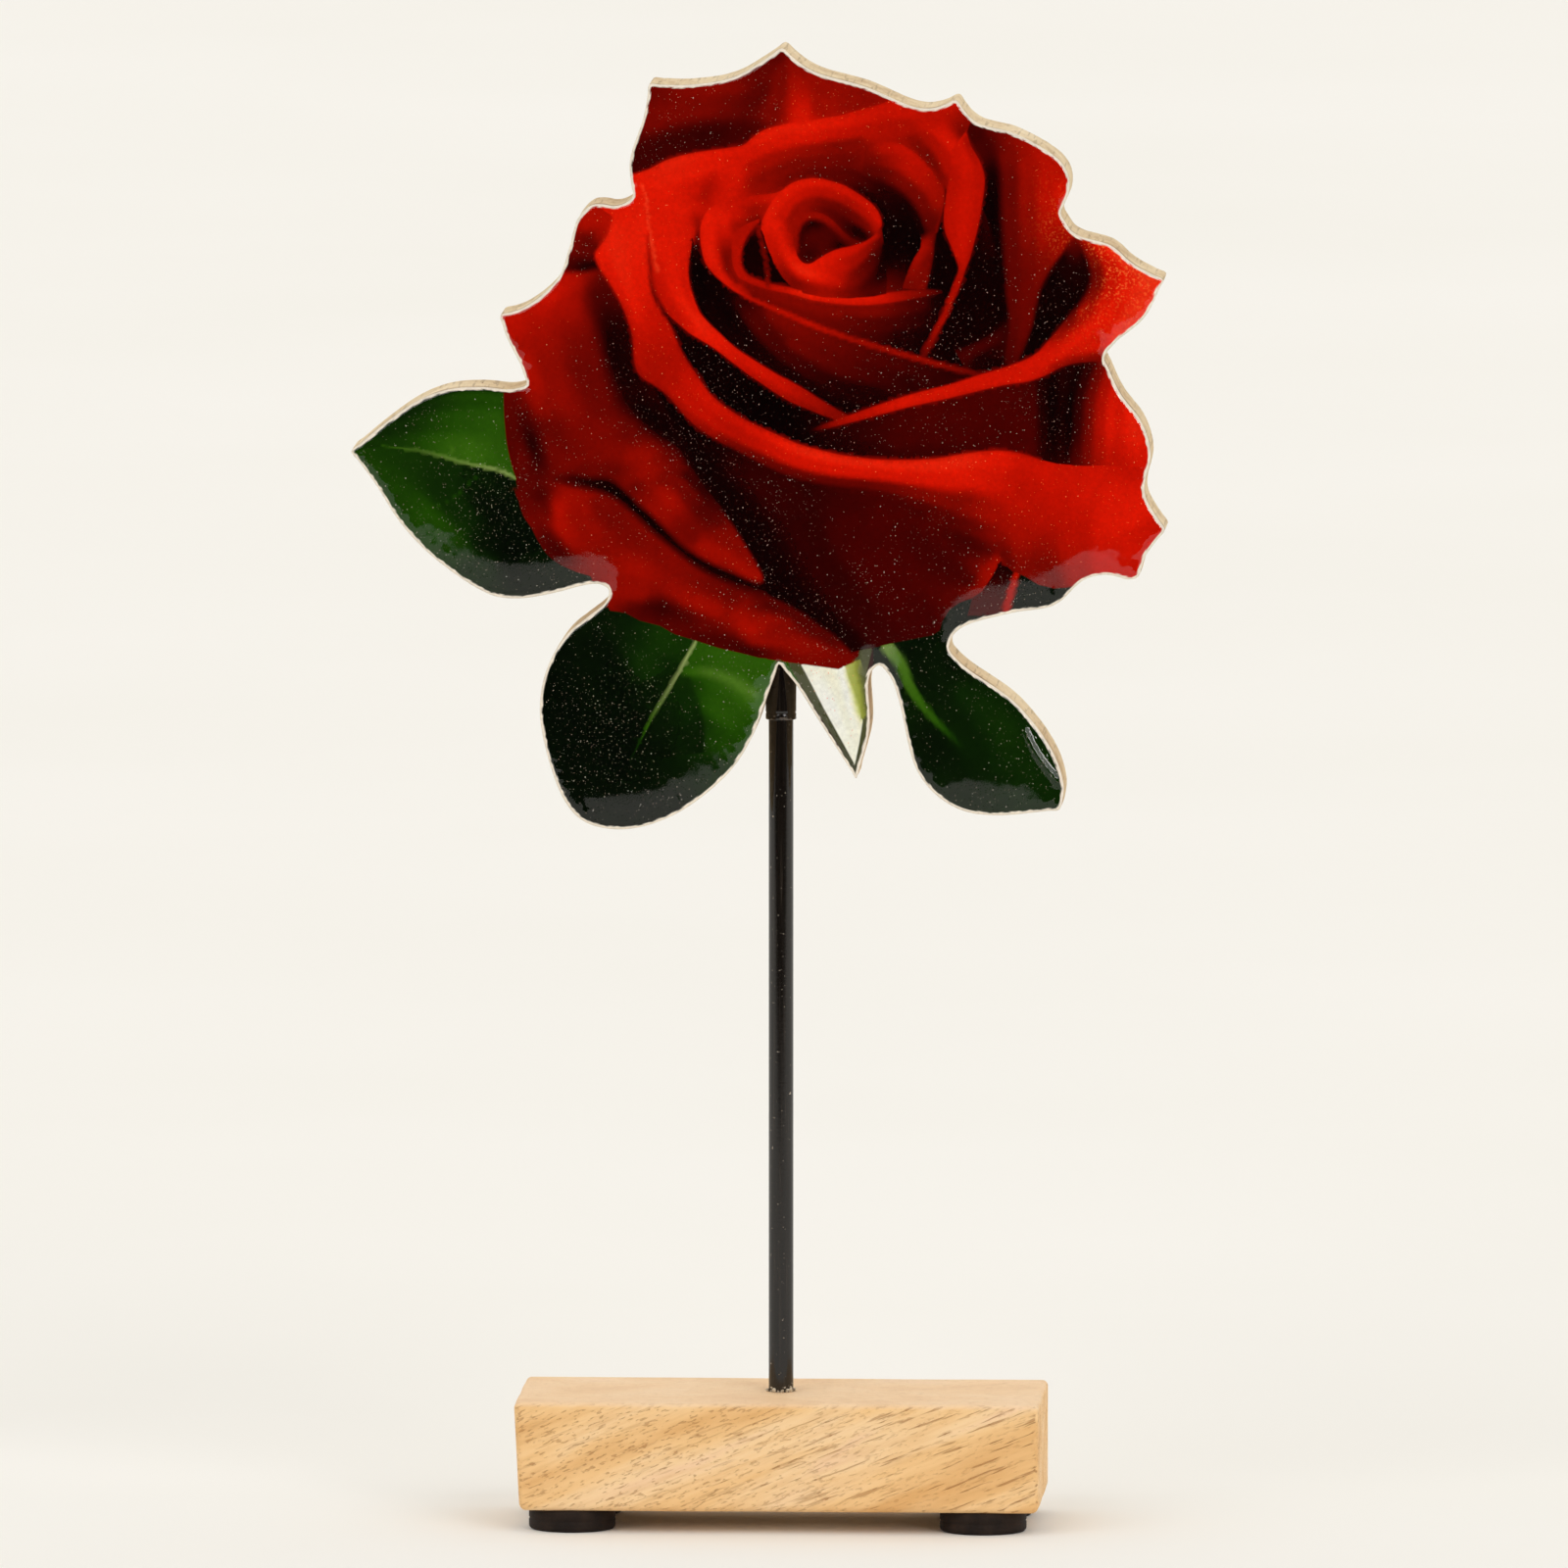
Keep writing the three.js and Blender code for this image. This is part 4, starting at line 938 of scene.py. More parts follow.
# Front rim: from the upper left, round the bottom and out to the right
petal([(53, 41.5), (50, 42.5), (48, 43), (46, 43.3), (44, 43.4), (42, 43.3), (40, 43.1), (38, 42.8),
       (36, 42.5), (34, 42.1), (32, 41.8), (30, 41.6), (27.5, 41.45), (25, 41.4), (22.5, 41.4), (20, 41.5),
       (18, 41.65), (16, 41.9), (13, 42.3), (10, 42.9), (8, 43.4), (6, 43.9), (4, 44.5), (2, 45.3),
       (0, 46.2), (-2, 47.1), (-4, 48), (-6, 49), (-8, 50.1), (-10, 51.4), (-12, 52.9), (-14, 54.8),
       (-16, 57.6), (-18.2, 60.8), (-19.5, 63), (-20.5, 65.2), (-21.6, 67.8), (-23.2, 70.6), (-25, 73.4),
       (-26, 76.4), (-26.4, 80), (-26.6, 85), (-26.8, 92), (-27.6, 99), (-32.4, 97), (-33.4, 93),
       (-33.8, 89), (-34.8, 86), (-37, 82.8), (-36.4, 80.4), (-34.6, 77.6), (-33, 75), (-31.6, 72.3),
       (-30.5, 69.5), (-29.6, 66.4), (-29.3, 63.4), (-29.1, 60.9), (-28.5, 59), (-27.2, 57.5), (-25, 56.2),
       (-23, 54.7), (-21, 52.6), (-19, 50.2), (-16.6, 47.9), (-13.6, 45.9), (-10, 43.8), (-6, 41.6),
       (-2, 39.4), (2, 37.6)],
      [(6, 36), (12, 34.8), (20, 34), *(place[:2] for place in SEAM), (80, 40.2), (72, 40.3), (66, 40.5),
       (60, 40.5), (56, 40.8)],
      [[(-31, 92, 1.0), (-29, 86, 1.02), (-28, 80, 1.0), (-27, 75, 0.94), (-25.4, 71.6, 0.84),
        (-23.4, 68, 0.8), (-21.8, 64.6, 0.74), (-20.4, 61.8, 0.7), (-18, 58.8, 0.8), (-15.4, 55.2, 0.86),
        (-12, 51.8, 0.86), (-8, 49.1, 0.84), (-4, 46.9, 0.9), (0, 45, 1.0), (5, 42.9, 1.05),
        (10, 41.6, 1.05), (16, 40.6, 1.05), (24, 40, 1.05), (32, 40.2, 1.05), (39, 41.2, 1.04),
        (45, 41.2, 0.96)],
       [(-33, 86, 1.04), (-32, 80, 1.04), (-30, 75, 1.02), (-28.6, 70, 0.94), (-27.4, 65, 0.76),
        (-26.4, 60.6, 0.68), (-23, 57, 0.7), (-19.6, 53.8, 0.8), (-16, 50.6, 0.82), (-12, 47.9, 0.78),
        (-7, 45.4, 0.74), (-2, 43.2, 0.84), (3, 40.9, 0.88), (10, 39.2, 0.92), (18, 38.4, 0.94),
        (26, 37.8, 0.92), (33, 37.2, 0.95), (40, 37.6, 0.96), (46, 36.8, 0.84)],
       [(-36.4, 82.6, 1.0), (-34, 78, 0.96), (-31.4, 73, 0.9), (-29.8, 68, 0.8), (-29, 63, 0.74),
        (-28, 59.4, 0.68), (-24.6, 56.4, 0.66), (-21, 53, 0.66), (-18, 50, 0.66), (-15, 47.6, 0.56)],
       [(-12, 45.9, 0.5), (-8, 43.4, 0.4), (-2, 40.6, 0.34), (5, 38.2, 0.32), (12, 37, 0.32),
        (20, 36.2, 0.34), (27, 35, 0.42), (32, 33.8, 0.48), (36, 32.4, 0.44)],
       [(-10, 43.4, 0.16), (-4, 40.2, 0.12), (0, 38, 0.1), (8, 36, 0.12), (20, 34.4, 0.18), *SEAM],
       [(50, 40.6, 0.86), (50, 36, 0.78), (48.6, 33, 0.76)], [(55, 39, 0.86), (56, 34, 0.8)],
       [(62, 38.6, 0.86), (62, 34, 0.9)], [(70, 39, 0.8), (69, 34, 0.96)],
       [(38, 32.4, 0.5), (41, 31.4, 0.6), (43.6, 30, 0.62)]], soft=0.4, blur=0.4)

# Painted glints along the upper left rim: light caught in the resin, laid into the ink as short pale strokes,
# and the shade below them
GLINT_STRAY = 0.25
GLINT_WIDE = (0.1, 0.4)
GLINT_RUN = (0.1, 0.15)
GLINT_TONE = 1.25
glint_path = [(-27.3, 96.5), (-26.8, 93.4), (-26.5, 89.5), (-25.8, 86.5), (-25.4, 83.4), (-24.5, 79.2)]
for across, up in smooth(glint_path):
    start = across + rng.uniform(-GLINT_STRAY, GLINT_STRAY)
    glint = [(start, up, GLINT_TONE), (start + GLINT_RUN[0], up + GLINT_RUN[1], GLINT_TONE)]
    vein(glint, rng.uniform(*GLINT_WIDE, 2), soft=0.4)
vein([(-26.4, 86.4, 0.7), (-26.2, 83, 0.56), (-25.9, 80, 0.46), (-25.4, 76.4, 0.52), (-24.4, 73.4, 0.36),
      (-23, 70.8, 0.2)], (0.4, 1.0), soft=0.9)

# Print: a thin sheet with a narrow unprinted margin, whose ink ends in a wavering edge, in mm
OUTLINE_STEP = 0.75
MARGIN = 0.42
INK_EDGE = 0.16
INK_LATE = 0.03
INK_SHARP = 0.05
WAVER = 0.07
WAVER_WAYS = (((1.9, 1.1), 0), ((-0.8, 2.3), 1), ((3.7, -3.1), 0))
# The inks are laid on brighter than their own colour: painted light that makes up for the light the resin
# takes
INK_LIGHT_GAIN = 1.15
BRIGHTEST = 0.98
PAPER = light(246, 234, 218)
PRINT_GAP = 0.01
outline = smooth(outline_of("rose_print", print_low.y), OUTLINE_STEP, closed=True)

# Points of the print: rows along the margin, pairs beside every edge that shows, and a grid, in mm
PAPER_ROW = 0.14
INK_ROW = 0.16
HIDDEN_STEP = 0.4
EDGE_SIDE = 0.13
SOFT_FROM = 0.3
SOFT_SIDE = 0.6
EDGE_CLEAR = 0.3
EDGE_SHOWS = 0.004
PRINT_GRID = 0.72
PRINT_CLEAR = 0.9
PRINT_CLOSEST = 0.2

# Dust: more on dark ink and in a patch at the right, less round the bud, and none at the edge
DUST_PALE = 0.24
DUST_DARK = 0.36
DARK_BELOW = 0.35
DUSTY = (63, 50)
DUSTY_REACH = 11
DUSTY_MORE = 0.3
BUD = (10, 80)
BUD_REACH = (34, 26)
BUD_LESS = 0.8
DRIFT_MEAN = 0.6
DRIFT_SWING = 0.18
DRIFT_LIMITS = (0.1, 1.3)
DRIFT_WAYS = (((0.13, 0.05), 1.0), ((-0.04, 0.11), 2.0), ((0.21, -0.17), 0.5), ((0.3, 0.26), 4.0))
DUST_CLEAR = 1.2

# Glitter: round the petal's tip, on red ink
TIP = (67, 83)
TIP_REACH = (12, 12)
GLITTER_FROM = 0.12
GLITTER_RISE = 0.4

# Gloss: a coat on the print where the resin is level, and on the resin itself where it slopes to its edge
RIM_GLOSS = 3.0
RIM_FADE = 17.0
GLOSS_ROUGH = 0.04


def stepped(loop, step):
    """Points at even steps along the sides of a closed loop."""
    run = []
    for start, end in zip(loop, np.roll(loop, -1, 0)):
        count = math.ceil(math.dist(start, end) / step)
        run.append(start + (end - start) * (np.arange(count) / max(count, 1))[:, None])
    return np.vstack(run)


def along_edges():
    """Pairs of points close to both sides of every edge that shows in the picture."""
    pairs = []
    for layer in layers:
        rim = stepped(layer["loop"], HIDDEN_STEP) if "loop" in layer else layer["path"][:, :2]
        tracks = [(rim, EDGE_SIDE)]
        if "edge" in layer and layer["soft"] > SOFT_FROM:
            tracks.append((layer["edge"], layer["soft"] * SOFT_SIDE))
        for run, reach in tracks:
            side = np.gradient(run, axis=0)
            side /= np.hypot(*side.T)[:, None] + NIL
            side = np.column_stack([side[:, 1], -side[:, 0]]) * reach
            pairs.append(np.hstack([run - side, run + side]))
    pairs = np.vstack(pairs)
    for first in (0, 2):
        pairs = pairs[inside(outline, pairs[:, first:first + 2])]
        pairs = pairs[gap_to(outline, pairs[:, first:first + 2]) > MARGIN + EDGE_CLEAR]
    shows = np.abs(painted(pairs[:, :2]) - painted(pairs[:, 2:])).max(1) > EDGE_SHOWS
    return pairs[shows].reshape(-1, 2)


def backed(name, at, faces, front, back, material, hard_back=False):
    """A sheet: triangles on its front, straight sides round the outline and one flat face at its back."""
    count = len(outline)
    points = np.vstack([in_frame(at, front), in_frame(outline, back)])
    rim = [len(at) + i for i in range(count)]
    sides = [(rim[i], rim[(i + 1) % count], (i + 1) % count, i) for i in range(count)]
    flat = {len(faces) + count} if hard_back else ()
    return new_piece(name, points, faces + sides + [rim[::-1]], material, flat)


def level_share(gap):
    """How level the resin is at a distance from its edge."""
    return eased((gap - RIM_GLOSS) / RIM_FADE)


def make_print(material):
    runs = inset_runs(outline, (MARGIN - PAPER_ROW, MARGIN, MARGIN + INK_EDGE, MARGIN + INK_EDGE + INK_ROW))
    loose = np.vstack([along_edges(), grid_inside(outline, PRINT_GRID, PRINT_CLEAR)])
    at, faces = filled(outline, runs, thinned(np.vstack(runs), loose, PRINT_CLOSEST))
    piece = backed("printed_sheet", at, faces, print_low.y, print_high.y - PRINT_GAP * MM, material)
    gap = gap_to(outline, at)
    bare = 1 - eased((gap - MARGIN - WAVER * waves(at, WAVER_WAYS) - INK_LATE) / (INK_EDGE - INK_SHARP))
    # Painted light: every ink brightened by the same gain, up to the brightest
    colour = np.minimum(painted(at) * INK_LIGHT_GAIN, BRIGHTEST)
    colour += bare[:, None] * (np.array(PAPER) - colour)
    ink = np.ones((len(piece.data.vertices), 4))
    ink[:, :3] = PAPER
    ink[:len(at), :3] = colour
    piece.data.attributes.new("ink", "FLOAT_COLOR", "POINT").data.foreach_set("color", ink.ravel())
    dark = np.clip(1 - colour.max(1) / DARK_BELOW, 0, 1)
    drift = np.clip(DRIFT_MEAN + DRIFT_SWING * waves(at, DRIFT_WAYS), *DRIFT_LIMITS)
    clean = 1 - BUD_LESS * near_to(at, BUD, BUD_REACH)
    right = DUSTY_MORE * near_to(at, DUSTY, DUSTY_REACH)
    carries(piece, "dust", ((DUST_PALE + DUST_DARK * dark) * clean * drift + right) * (gap > DUST_CLEAR))
    red = eased((colour[:, 0] - GLITTER_FROM) / GLITTER_RISE)
    carries(piece, "glitter", near_to(at, TIP, TIP_REACH) * (1 - bare) * red)
    carries(piece, "level", level_share(gap))
    return piece


def print_finish():
    material, tree = new_finish("printed_ink")
    at = tree.place()
    nap = tree.noise(at, 1400.0, detail=3.0, rough=0.6)
    cloud = tree.noise(at, 160.0, detail=3.0, rough=0.55)
    tint = tree.ramp(nap * 0.6 + cloud * 0.4, [(0.3, (0.84, 0.84, 0.84)), (0.7, (1.12, 1.12, 1.12))])
    colour = tree.mix(1.0, tree.carried("ink", "Color"), tint, "MULTIPLY")
    clumps = 0.3 + 0.7 * tree.between(tree.noise(at, 420.0), 0.4, 0.6)
    spots = tree.between(tree.noise(at, 1800.0, rough=0.6), 0.52, 0.63) * clumps
    colour = tree.mix(spots * tree.carried("glitter") * 0.85, colour, shown(254, 118, 54))
    tree.solid(Base_Color=colour, Roughness=0.6, Specular_IOR_Level=0.0, Coat_Weight=tree.carried("level"),
               Coat_Roughness=GLOSS_ROUGH, Coat_IOR=1.38)
    return material


# Resin: a clear domed coat with a rounded rim and a low ridge on the right leaf, in mm
DOME_DROP = 0.9
DOME_REACH = 3.5
RIM_ROUND = 0.5
RIM_ROWS = (0.03, 0.1, 0.2, 0.35, 0.55, 0.9, 1.4, 2.0)
NOTCH_CALM = 6.0
NOTCH_REACH = 5.0
EVEN_SHARE = 0.6
EVEN_FROM = 1
EVEN_RISE = 2
EVEN_ROUNDS = 50
RIDGE = smooth([(49.5, -13), (51.5, -17), (54, -20.5), (56.5, -23.5)], 0.4)
RIDGE_HIGH = 0.3
RIDGE_WIDE = 0.7
RIDGE_SIDE = np.array((0.83, 0.55))
RIDGE_ROWS = np.linspace(-1.4, 1.4, 13)
RESIN_GRID = 1.0
RESIN_CLEAR = 2.5
RESIN_CLOSEST = 0.18
RESIN_GAP = 0.02
GLANCE = 0.031


def resin_height(gap):
    """The resin's thickness, in mm, at a distance from its edge."""
    full = (resin_high.y - resin_low.y) * PER_M
    curl = np.clip(RIM_ROUND - gap, 0, None)
    return full - DOME_DROP * np.exp(-gap / DOME_REACH) - RIM_ROUND + np.sqrt(RIM_ROUND ** 2 - curl ** 2)


def evened(at, faces, height, free, rounds):
    """Heights evened out with their neighbours', where free is above 0."""
    corners = np.array(faces)
    start, end = np.vstack([corners[:, [0, 1]], corners[:, [1, 2]], corners[:, [2, 0]]]).T
    count = np.bincount(np.append(start, end), minlength=len(at))
    for _ in range(rounds):
        near = np.bincount(start, height[end], len(at)) + np.bincount(end, height[start], len(at))
        height = height + free * (near / count - height)
    return height


def make_resin(material):
    runs = inset_runs(outline, RIM_ROWS)
    beside = [RIDGE + RIDGE_SIDE * step for step in RIDGE_ROWS]
    loose = np.vstack(beside + [grid_inside(outline, RESIN_GRID, RESIN_CLEAR)])
    at, faces = filled(outline, runs, thinned(np.vstack(runs), loose, RESIN_CLOSEST))
    gap = gap_to(outline, at)
    gap[:len(outline)] = 0
    calm = NOTCH_CALM * near_to(at, (0, 0), NOTCH_REACH) * np.clip(gap, 0, 1)
    free = EVEN_SHARE * eased((gap - EVEN_FROM) / EVEN_RISE)
    height = evened(at, faces, resin_height(gap + calm), free, EVEN_ROUNDS)
    height += RIDGE_HIGH * np.exp(-(nearest(RIDGE, at)[0] / RIDGE_WIDE) ** 2)
    front, back = resin_high.y - height * MM, resin_high.y - RESIN_GAP * MM
    piece = backed("resin_dome", at, faces, front, back, material, hard_back=True)
    carries(piece, "sloped", 1 - level_share(gap), rest=1.0)
    return piece


def resin_finish():
    material, tree = new_finish("clear_resin")
    clear = tree.add("ShaderNodeBsdfTransparent", {}, {"Color": (1.0, 1.0, 0.995, 1.0)})
    gloss = tree.add("ShaderNodeBsdfGlossy", {}, {"Color": (1.0, 1.0, 1.0, 1.0), "Roughness": GLOSS_ROUGH})
    facing = tree.add("ShaderNodeLayerWeight", {}, {"Blend": 0.5}, "Facing")
    inner = tree.add("ShaderNodeNewGeometry", out="Backfacing")
    glance = (GLANCE + (1 - GLANCE) * facing ** 5) * (1 - inner) * tree.carried("sloped")
    tree.surface(tree.add("ShaderNodeMixShader", {}, {0: glance, 1: clear, 2: gloss}))
    return material


# Dust and tiny bubbles caught in the resin: how many on a square metre, their radius and their depth
DUST_SIZES = {"Density": 2600000.0, "Smallest": 0.035 * MM, "Largest": 0.11 * MM, "Lowest": -0.7 * MM,
              "Highest": -0.2 * MM}
PLACE_SEED = 5
DEPTH_SEED = 7
SIZE_SEED = 9


def dust_tree(material):
    """Scatters specks over the print, as thick as its points say."""
    group = bpy.data.node_groups.new("resin_dust", "GeometryNodeTree")
    group.interface.new_socket("Print", in_out="INPUT", socket_type="NodeSocketGeometry")
    for name in DUST_SIZES:
        group.interface.new_socket(name, in_out="INPUT", socket_type="NodeSocketFloat")
    group.interface.new_socket("Dust", in_out="OUTPUT", socket_type="NodeSocketGeometry")
    tree = Tree(group)
    given = tree.add("NodeGroupInput", out=("Print", *DUST_SIZES))
    sheet, density, smallest, largest, lowest, highest = given

    def chance(low, high, seed):
        """A random value. Its sockets go by number, because several share a name."""
        sockets = {2: low, 3: high, "Seed": seed}
        return tree.add("FunctionNodeRandomValue", {"data_type": "FLOAT"}, sockets, 1)

    share = tree.add("GeometryNodeInputNamedAttribute", {"data_type": "FLOAT"}, {"Name": "dust"})
    spots = tree.add("GeometryNodeDistributePointsOnFaces", {"distribute_method": "RANDOM"},
                     {"Mesh": sheet, "Density": density * share, "Seed": PLACE_SEED})
    lift = tree.add("ShaderNodeCombineXYZ", {}, {"Y": chance(lowest, highest, DEPTH_SEED)})
    spots = tree.add("GeometryNodeSetPosition", {}, {"Geometry": spots, "Offset": lift})
    speck = tree.add("GeometryNodeMeshIcoSphere", {}, {"Radius": 1.0, "Subdivisions": 1})
    size = chance(0.0, 1.0, SIZE_SEED)
    size = smallest + (largest - smallest) * (size * size * size)
    spots = tree.add("GeometryNodeInstanceOnPoints", {}, {"Points": spots, "Instance": speck, "Scale": size})
    spots = tree.add("GeometryNodeRealizeInstances", {}, {"Geometry": spots})
    spots = tree.add("GeometryNodeSetMaterial", {}, {"Geometry": spots, "Material": material})
    tree.add("NodeGroupOutput", {}, {"Dust": spots}, out=None)
    return group


def make_dust(sheet, material):
    piece = placed("resin_dust", sheet.data.copy())
    scatter = piece.modifiers.new("dust", "NODES")
    scatter.node_group = dust_tree(material)
    for item in scatter.node_group.interface.items_tree:
        if item.name in DUST_SIZES:
            scatter[item.identifier] = DUST_SIZES[item.name]
    applied(piece, scatter)
    return piece


def dust_finish():
    material, tree = new_finish("resin_dust")
    grain = tree.noise(tree.place(), 700.0, detail=1.0)
    red = tree.add("ShaderNodeSeparateColor", {}, {"Color": tree.carried("ink", "Color")}, "Red")
    pale = tree.ramp(grain, [(0.32, light(64, 46, 38)), (0.48, light(142, 120, 106)),
                             (0.6, light(204, 188, 172)), (0.72, light(242, 236, 226))])
    warm = tree.ramp(grain, [(0.32, light(214, 44, 14)), (0.5, light(246, 104, 46)),
                             (0.72, light(254, 176, 116))])
    colour = tree.mix(tree.between(red, 0.12, 0.4), pale, warm)
    tree.solid(Base_Color=colour, Roughness=0.6, Specular_IOR_Level=0.1)
    return material


# Plate: the sawn board behind the print, with a softened back edge, as depths and steps outwards in mm
SAW_WANDER = 0.02
SAW_ROUGH = 0.012
SAW_MOST = 0.03
WANDER_SHARE = 0.1
FRONT_LEVELS = ((0, 0.0), (0.25, -0.05), (4, -0.02))
MIDDLE_LEVEL = (0.0, 0.0)
BACK_LEVELS = ((4, -0.02), (0.8, -0.03), (0.3, -0.2), (0.08, -0.45), (0, -0.8))
SOCKET_CLEAR = 0.02
SOCKET_DEEPER = 0.2
DRILL_BELOW = 30
# Depths from the front, in mm, over which a painted shade darkens the edge next to the print
FRONT_SHADE_DEPTHS = (1.0, 3.4)


def make_plate(material):
    wander = np.cumsum(rng.normal(0, SAW_WANDER, len(outline)))
    wander -= np.linspace(wander[0], wander[-1], len(outline))
    normal = outwards(outline)
    levels = [(plate_low.y * PER_M + depth, step) for depth, step in FRONT_LEVELS] + [MIDDLE_LEVEL]
    levels += [(plate_high.y * PER_M - depth, step) for depth, step in BACK_LEVELS]
    rows = []
    for depth, step in levels:
        saw = rng.normal(0, SAW_ROUGH, len(outline))
        out = step + np.minimum(saw + wander * WANDER_SHARE, SAW_MOST)
        rows.append(in_frame(outline + normal * out[:, None], depth * MM))
    count = len(outline)
    faces = []
    for k in range(len(levels) - 1):
        for i in range(count):
            j = (i + 1) % count
            faces.append((k * count + i, (k + 1) * count + i, (k + 1) * count + j, k * count + j))
    last = (len(levels) - 1) * count
    flat = {len(faces), len(faces) + 1}
    faces.append(tuple(range(count)))
    faces.append(tuple(last + i for i in reversed(range(count))))
    piece = new_piece("rose_board", np.vstack(rows), faces, material, flat)
    top = socket_high.z + SOCKET_DEEPER * MM
    drilled(piece, socket_radius + SOCKET_CLEAR * MM, notch.z - DRILL_BELOW * MM, top)
    return piece


def board_finish():
    material, tree = new_finish("sawn_board")
    at = tree.place()
    grain = tree.noise(at, (900.0, 260.0, 40.0), detail=4.0, rough=0.6, warp=0.3)
    band = tree.noise(at, (90.0, 60.0, 7.0), detail=3.0, warp=0.8)
    saw = tree.noise(at, (1400.0, 60.0, 1400.0), rough=0.6)
    chips = tree.noise(at, (700.0, 160.0, 700.0), detail=3.0, rough=0.6)
    patch = tree.noise(at, 130.0, detail=3.0, rough=0.55)
    colour = tree.ramp(band * 0.6 + grain * 0.4, [(0.3, light(192, 158, 114)), (0.5, light(224, 200, 160)),
                                                  (0.7, light(240, 222, 188))])
    colour = tree.mix(tree.between(saw, 0.54, 0.7) * 0.5, colour, shown(150, 122, 86))
    # Painted shade in patches along the front of the edge, where the print sheet meets the board
    front_shade = 1 - tree.between(tree.along(at, "Y"), *(plate_low.y + depth * MM for depth in FRONT_SHADE_DEPTHS))
    colour = tree.mix(front_shade * tree.between(patch, 0.34, 0.66) * 0.75, colour, shown(140, 104, 68))
    colour = tree.mix(tree.between(chips, 0.66, 0.74) * 0.7, colour, shown(120, 84, 52))
    bump = tree.bump(grain * 0.5 + saw * 0.5, distance=0.15 * MM, strength=0.6)
    tree.solid(Base_Color=colour, Roughness=0.62 + 0.2 * grain, Normal=bump, Specular_IOR_Level=0.3)
    return material


# Block: hand-sanded, so its edges are rounded unevenly and its left end leans in a little, in mm
BLOCK_STEP = 1.6
ROUND_MOST = 2.0
ROUND_STEPS = np.array((0.0, 0.12, 0.3, 0.52, 0.76, 1.0))
ROUND_MEAN = 1.25
ROUND_SWING = 0.16
ROUND_WAYS = (((0.21, 0, 0), 1.0), ((0, 0.33, 0), 2.0), ((0, 0, 0.45), 0.0), ((0.071, 0, 0), 0.0))
LEAN = 1.1
LEAN_REACH = 12
ROD_CLEAR = 0.05
DRILL_ABOVE = 10
# Depths below the top, in mm, over which a painted light makes the block paler
LIT_TOP_BAND = (1.1, 0.1)
PORES_RIGHT = (-30, 45)
FIBRE_TILT = 22


def side_marks(low, high):
    """Places along one side of the block, close together near its ends."""
    count = max(2, round((high - low - 2 * ROUND_MOST) / BLOCK_STEP))
    middle = np.linspace(low + ROUND_MOST, high - ROUND_MOST, count + 1)[1:-1]
    return np.concatenate([low + ROUND_STEPS * ROUND_MOST, middle, high - ROUND_STEPS[::-1] * ROUND_MOST])


def make_block(material):
    low, high = np.array(block_low) * PER_M, np.array(block_high) * PER_M
    xs, ys, zs = (side_marks(low[k], high[k]) for k in range(3))
    numbers = {}
    faces = []

    def patch(turn, *ring):
        faces.append([numbers.setdefault(corner, len(numbers)) for corner in ring][::turn])

    for x0, x1 in zip(xs, xs[1:]):
        for y0, y1 in zip(ys, ys[1:]):
            for z, turn in ((zs[0], -1), (zs[-1], 1)):
                patch(turn, (x0, y0, z), (x1, y0, z), (x1, y1, z), (x0, y1, z))
        for z0, z1 in zip(zs, zs[1:]):
            for y, turn in ((ys[0], 1), (ys[-1], -1)):
                patch(turn, (x0, y, z0), (x1, y, z0), (x1, y, z1), (x0, y, z1))
    for y0, y1 in zip(ys, ys[1:]):
        for z0, z1 in zip(zs, zs[1:]):
            for x, turn in ((xs[0], -1), (xs[-1], 1)):
                patch(turn, (x, y0, z0), (x, y1, z0), (x, y1, z1), (x, y0, z1))
    at = np.array(list(numbers))
    radius = (ROUND_MEAN + ROUND_SWING * waves(at, ROUND_WAYS))[:, None]
    core = np.clip(at, low + radius, high - radius)
    away = at - core
    length = np.sqrt((away ** 2).sum(1, keepdims=True))
    at = core + away * np.minimum(1, radius / np.maximum(length, NIL))
    lean = np.clip((low[0] + LEAN_REACH - at[:, 0]) / LEAN_REACH, 0, 1) ** 2
    at[:, 0] += lean * LEAN * (high[2] - at[:, 2]) / (high[2] - low[2])
    piece = new_piece("wood_block", at * MM, faces, material)
    drilled(piece, rod_radius + ROD_CLEAR * MM, rod_low.z, block_high.z + DRILL_ABOVE * MM)
    return piece


def block_finish():
    material, tree = new_finish("pored_wood")
    at = tree.place()
    across, height = tree.along(at, ("X", "Z"))
    top = tree.between(height, *(block_high.z - depth * MM for depth in LIT_TOP_BAND))
    right = tree.between(across, *(place * MM for place in PORES_RIGHT))
    tilt = (0.0, math.radians(FIBRE_TILT), 0.0)
    fibre = tree.add("ShaderNodeMapping", {}, {"Vector": at, "Rotation": tilt})
    cloud = tree.noise(fibre, (16.0, 60.0, 110.0), detail=3.0, rough=0.55, warp=0.4)
    silk = tree.noise(fibre, (70.0, 900.0, 900.0), detail=3.0, rough=0.6)
    short = tree.between(tree.noise(fibre, (560.0, 1800.0, 2400.0), rough=0.55), 0.58, 0.66)
    long = tree.between(tree.noise(fibre, (105.0, 1400.0, 1500.0)), 0.59, 0.67)
    pores = short * (0.75 - right * 0.4) + long * (0.3 + right * 0.7)
    colour = tree.ramp(cloud, [(0.32, light(228, 177, 114)), (0.48, light(243, 200, 142)),
                               (0.62, light(247, 211, 162)), (0.75, light(244, 205, 168))])
    colour = tree.mix(tree.between(silk, 0.4, 0.75) * 0.3, colour, shown(210, 158, 98))
    colour = tree.mix(pores * (0.6 - 0.3 * top), colour, shown(156, 100, 48))
    # Painted light: the top face and its rounded edge paler, as lit from above
    colour = tree.mix(top * 0.5, colour, shown(246, 216, 184))
    bump = tree.bump(silk * 0.3 - pores, distance=0.2 * MM, strength=0.7)
    tree.solid(Base_Color=colour, Roughness=0.55 + 0.2 * silk, Normal=bump, Specular_IOR_Level=0.3)
    return material
